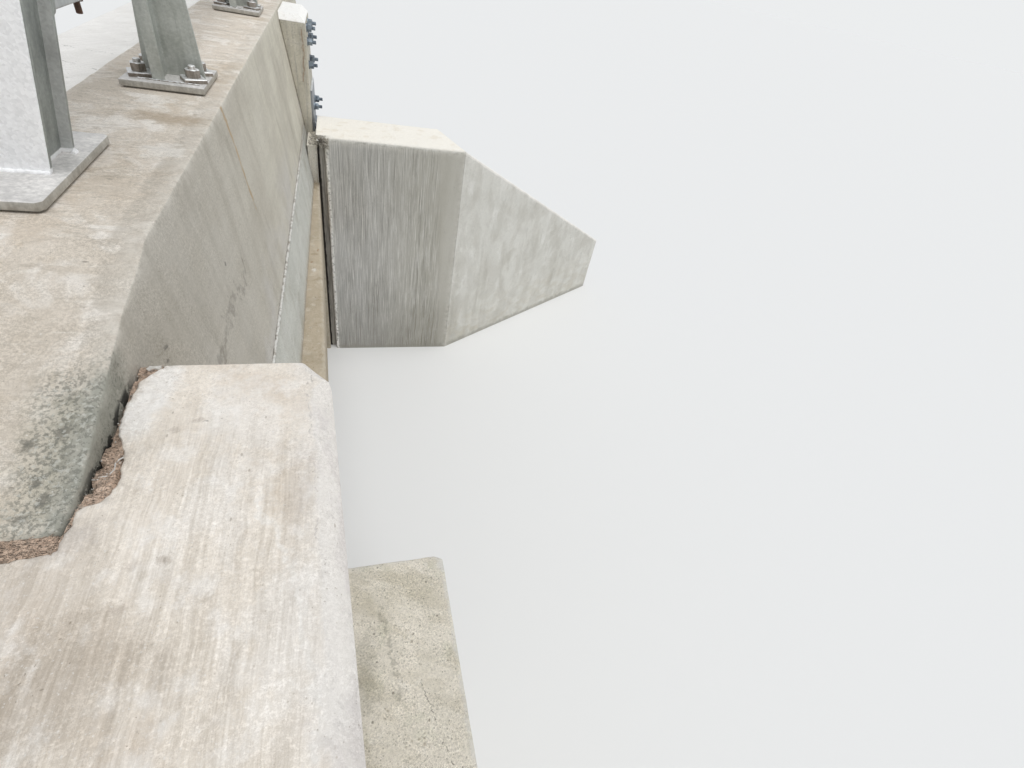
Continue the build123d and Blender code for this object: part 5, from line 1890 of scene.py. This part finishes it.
# The pale top colours below are painted reflections of the sky. The end post's white front is partly one.
steels = {"post_steel": dict(light=(0.36, 0.38, 0.355), dark=(0.22, 0.235, 0.22), metal=0.35,
                             rough=(0.42, 0.62), bloomed_and_sky_lit=(0.99, 0.99, 0.99),
                             far=((1.1, 1.3), (0.54, 0.555, 0.515), (0.38, 0.395, 0.36))),
          "rail_steel": dict(light=(0.5, 0.51, 0.5), dark=(0.36, 0.37, 0.36), rust=0.1, rough=(0.35, 0.55)),
          "base_steel": dict(light=(0.54, 0.52, 0.47), dark=(0.34, 0.32, 0.28), rust=0.42, metal=0.3,
                             rough=(0.45, 0.7), sky_lit_tops=(0.8, 0.78, 0.755)),
          "bolt_steel": dict(light=(0.36, 0.32, 0.28), dark=(0.17, 0.14, 0.11), rust=0.42,
                             rough=(0.3, 0.55), sky_lit_tops=(0.88, 0.89, 0.89),
                             far=((3.95, 4.05), (0.36, 0.42, 0.47), (0.1, 0.12, 0.15))),
          "plate_steel": dict(light=(0.36, 0.38, 0.4), dark=(0.2, 0.21, 0.23), rust=0.35, rough=(0.4, 0.6),
                              sky_lit_tops=(0.85, 0.87, 0.88))}
for name, looks in steels.items():
    finishes[name] = zinc_finish(name, **looks)
finishes["rusty_steel"] = rust_finish()
print("finishes:", len(finishes))

# %% [markdown]
# ## Fitting the pieces
# Most pieces stand for one node each; a few are only drawn here and stand for none.

# %% Concrete and steel in place
fit(parapet, "coping_concrete", "parapet")
fit(lower_lift, "fascia_concrete", "lower_lift")
fit(near_wing, "slab_concrete", "near_wing_wall")
fit(step_wall, "step_concrete", "step_wall")
fit(roof_slab, "old_concrete", "roof_slab")
fit(near_side, "old_concrete", "near_side_wall")
fit(far_side, "old_concrete", "far_side_wall")
fit(run_on, "old_concrete", "run_on_wall")
fit(road_strip, "strip_concrete", "road_strip")
fit(far_wing, "wing_concrete", "far_wing_wall")
fit(far_flare, "wing_concrete", "far_wing_flare")
fit(joint_fill, "fibre_board", "joint_filler")
fit(joint_head, "fibre_board")
fit(head_lid, "wing_concrete")
fit(packing, "step_concrete")
fit(pilaster, "pilaster_concrete", "pilaster")
fit(pilaster_cap, "cap_concrete", "pilaster_cap")
fit(stud_plate, "plate_steel", "pilaster_plate")
fit(end_plates, "post_steel", "rail_end_plates")
for name, piece in soft_posts.items():
    fit(piece, "post_steel", name)
    fit(soft_bases[name], "base_steel", name + "_base")
for name, piece in soft_clips.items():
    fit(piece, "post_steel", name + "_clips")
for name, piece in soft_rails.items():
    fit(piece, "rail_steel", name)


# %% [markdown]
# The anchors have square washers and stand on the base plates. The studs have round
# washers and stand out of the pilaster, in three rows above and two on the steel plate.

# %% Anchors and studs
def nuts_for(name, bolt, points, aim, seed, *nodes):
    """Bolt ends on their spots, in place of their nodes."""
    piece = grown(name, ground(points), bolt_tree, Bolt=bolt, Aim=aim, Turn=0.44, Seed=seed,
                  Finish=finishes["bolt_steel"])
    return fit(smoothed(piece, 30), "bolt_steel", *nodes)


def both_sides(low, high, inset):
    """The two places at an inset from either end."""
    return low + inset, high - inset


anchor_inset = 0.038
anchor = bolt_end("anchor_end", nut_across=0.046, nut_h=0.028, thread_r=0.013, reach=0.012, washer_r=0.038,
                  washer_t=0.014, square=True)
for seed, name in enumerate(line_posts):
    lo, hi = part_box(name + "_anchors")
    points = [(x, y, lo.z) for x in both_sides(lo.x, hi.x, anchor_inset)
              for y in both_sides(lo.y, hi.y, anchor_inset)]
    nuts_for(name + "_nuts", anchor, points, (0, 0, 0), seed, name + "_anchors")
lo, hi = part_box("end_post_anchors")
points = [(lo.x + anchor_inset, y, lo.z) for y in both_sides(lo.y, hi.y, anchor_inset)]
nuts_for("end_post_nuts", anchor, points, (0, 0, 0), 7, "end_post_anchors")
bpy.data.objects.remove(anchor)

stud_inset = 0.03
stud_rows = {"upper_studs": (0.0, 0.158, 0.25), "lower_studs": (0.0, 0.165)}
stud = bolt_end("stud_end", nut_across=0.046, nut_h=0.03, thread_r=0.013, reach=0.028, washer_r=0.03,
                washer_t=0.008)
for seed, (node, rows) in enumerate(stud_rows.items()):
    lo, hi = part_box(node)
    points = [(lo.x, y, lo.z + stud_inset + up_z) for y in both_sides(lo.y, hi.y, stud_inset)
              for up_z in rows]
    nuts_for(node + "_nuts", stud, points, (0, pi / 2, 0), 11 + seed, node)
bpy.data.objects.remove(stud)

# %% [markdown]
# The joint round the ramp's foot gets its fibres, a few strings of mortar and a lip of it
# against the ramp's side. The two lifts meet in a ragged line of mortar. The end post was
# welded to its base, so a bead runs round its foot.

# %% Fibres in the joint
fibre_base = stand("fibre_base", joint_fill.data.copy())
scattered("joint_fibres", fibre_base, strand(0.017, 0.0006, 0.002), "fibre_board", 26000.0, (0.5, 1.2), 5,
          turns=((-0.3, -0.35, 0), (0.3, 0.35, 6.28)), up_only=0.6)

# %% Mortar strings and lines
def on_slab(lift, *places):
    """Places at a height over the slab's top, as points of a path."""
    return at(near_top_z + lift, *places)


curled_string = on_slab(-0.0045, (0.001, -0.094), (0.015, -0.092), (0.019, -0.079), (0.018, -0.065),
                        (0.021, -0.056), (0.028, -0.05))
short_string = on_slab(-0.0045, (0.013, -0.1), (-0.008, -0.098), (-0.014, -0.096))
beads("joint_strings", [curled_string, short_string], 0.0013, "mortar", 3, 1.8, 1.2, 90.0)
ramp_lip = on_slab(-0.006, (0.009, 0.192), (0.02, 0.198), (0.034, 0.199))
beads("joint_lip", [ramp_lip], 0.006, "mortar", 5, 0.8, 1.4, 60.0)
long_string = on_slab(-0.01, (-0.44, -0.24), (-0.3, -0.242), (-0.16, -0.236), (-0.05, -0.241))
beads("joint_end_string", [long_string], 0.004, "mortar", 6, 1.0, 1.3, 60.0)
lift_line = [(face_x(lift_z) + 0.0005, y, lift_z) for y in (near_face + 0.01, 1.3, 2.4, far_face - 0.01)]
beads("lift_joint_line", [lift_line], 0.0055, "mortar", 9, 1.6, 1.5, 30.0)

# %% Weld beads
def weld_path(*places):
    """A bead's path round the foot of the end post."""
    return at(post_lo.z, *places)


post_right = post_lo.x + post_foot_w
front_weld = weld_path((post_lo.x + 0.004, post_lo.y - 0.002), (post_right, post_lo.y - 0.002))
back_weld = weld_path((post_right - 0.03, post_hi.y + 0.002), (post_right + 0.002, post_hi.y + 0.001),
                      (post_right + 0.002, post_hi.y - 0.02))
beads("end_post_weld", [front_weld, back_weld], 0.0068, "post_steel", 12, 0.5, 1.2, 70.0)
for number, name in enumerate(line_posts):
    lo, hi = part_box(name)
    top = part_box(name + "_base")[1].z
    paths = [[(lo.x + 0.004, y, top), (hi.x - 0.004, y, top)] for y in (lo.y - 0.001, hi.y + 0.001)]
    beads(name + "_weld", paths, 0.0042, "bolt_steel", 14 + number, 0.5, 1.2, 80.0)

# %% [markdown]
# Crumbs of broken mortar lie in the joint, at the pilaster's foot on the ledge, on the
# packing of the far joint and down the broken corner of the far wing wall. Each heap grows
# on a small ground of its own, which isn't kept.

# %% Crumbs
def strewn(name, corners, slot, density, sizes, seed, stone_seed):
    """One heap of crumbs on a small ground."""
    return scattered(name, ground(corners, faces=[tuple(range(len(corners)))]), stone(stone_seed), slot,
                     density, sizes, seed)


joint_floor = on_slab(-0.004, (-0.012, -0.15), (0.05, -0.15), (0.05, 0.19), (-0.004, 0.19))
strewn("joint_crumbs", joint_floor, "mortar", 3500.0, (0.0007, 0.0026), 21, 4)
pilaster_foot = at(ledge_z - 0.002, (0.05, 3.97), (0.25, 3.97), (0.22, 4.06), (0.05, 4.06))
strewn("pilaster_rubble", pilaster_foot, "old_concrete", 5200.0, (0.003, 0.011), 23, 8)
corner_z = wing_hi.z - 0.012
broken_corner = [(0.234, 3.694, corner_z), (0.318, 3.652, corner_z), (0.318, 3.65, corner_z - 0.075),
                 (0.234, 3.7, corner_z - 0.085)]
strewn("wing_corner_rubble", broken_corner, "mortar", 11000.0, (0.004, 0.013), 29, 12)
packing_top = at(wing_hi.z - 0.104, (0.165, 3.74), (0.231, 3.738), (0.231, 4.05), (0.165, 4.05))
strewn("packing_rubble", packing_top, "mortar", 6500.0, (0.005, 0.015), 31, 14)

# %% [markdown]
# One bolt hangs in a slot under the end post's lowest rail plate. It has a hexagon head and
# a thread, and is brown with rust.

# %% Hanging bolt
bolt_lo, bolt_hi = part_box("drop_bolt")
bolt_flats = bolt_hi.y - bolt_lo.y
bolt_head_h = 0.01
bolt_shank_r = 0.0079
bolt_pitch = 0.002
bolt_tip = ((0.0, 0.006), (0.001, 0.0072))
head_soft = 0.0008
shank_h = bolt_hi.z - bolt_lo.z - bolt_head_h
bolt_z = bolt_lo.z


def head_r(angle):
    """Radius of the hexagon head, with two flats facing along Y."""
    return hex_r(bolt_flats)(angle + pi / 6)


def head_top_r(angle):
    """The same with its corners cut, as on top of a forged head."""
    return min(head_r(angle), bolt_flats * 0.47)


rows = [(height, round_r(radius)) for height, radius in bolt_tip]
rows += [(height, screw_r(bolt_shank_r * 0.96, height, bolt_pitch))
         for height in np.arange(0.0015, shank_h, bolt_pitch / 4)]
rows += [(shank_h, round_r(bolt_flats * 0.47)), (shank_h + head_soft, head_r)]
rows += [(shank_h + bolt_head_h - 2 * head_soft, head_r), (shank_h + bolt_head_h, head_top_r)]
drop_bolt = lathe("drop_bolt_worn", rows)
drop_bolt.data.transform(Matrix.Translation(((bolt_lo.x + bolt_hi.x) / 2, (bolt_lo.y + bolt_hi.y) / 2,
                                             bolt_z)))
fit(smoothed(drop_bolt, 30), "rusty_steel", "drop_bolt")

# %% Nodes that keep their own mesh
kept_nodes = {"wing_joint_filler": "fibre_board"} | {name + "_grout": "mortar" for name in soft_posts}
for node, slot in kept_nodes.items():
    kept = bpy.data.objects[node].data
    kept.materials.clear()
    kept.materials.append(finishes[slot])
print("kept as they are:", list(kept_nodes))
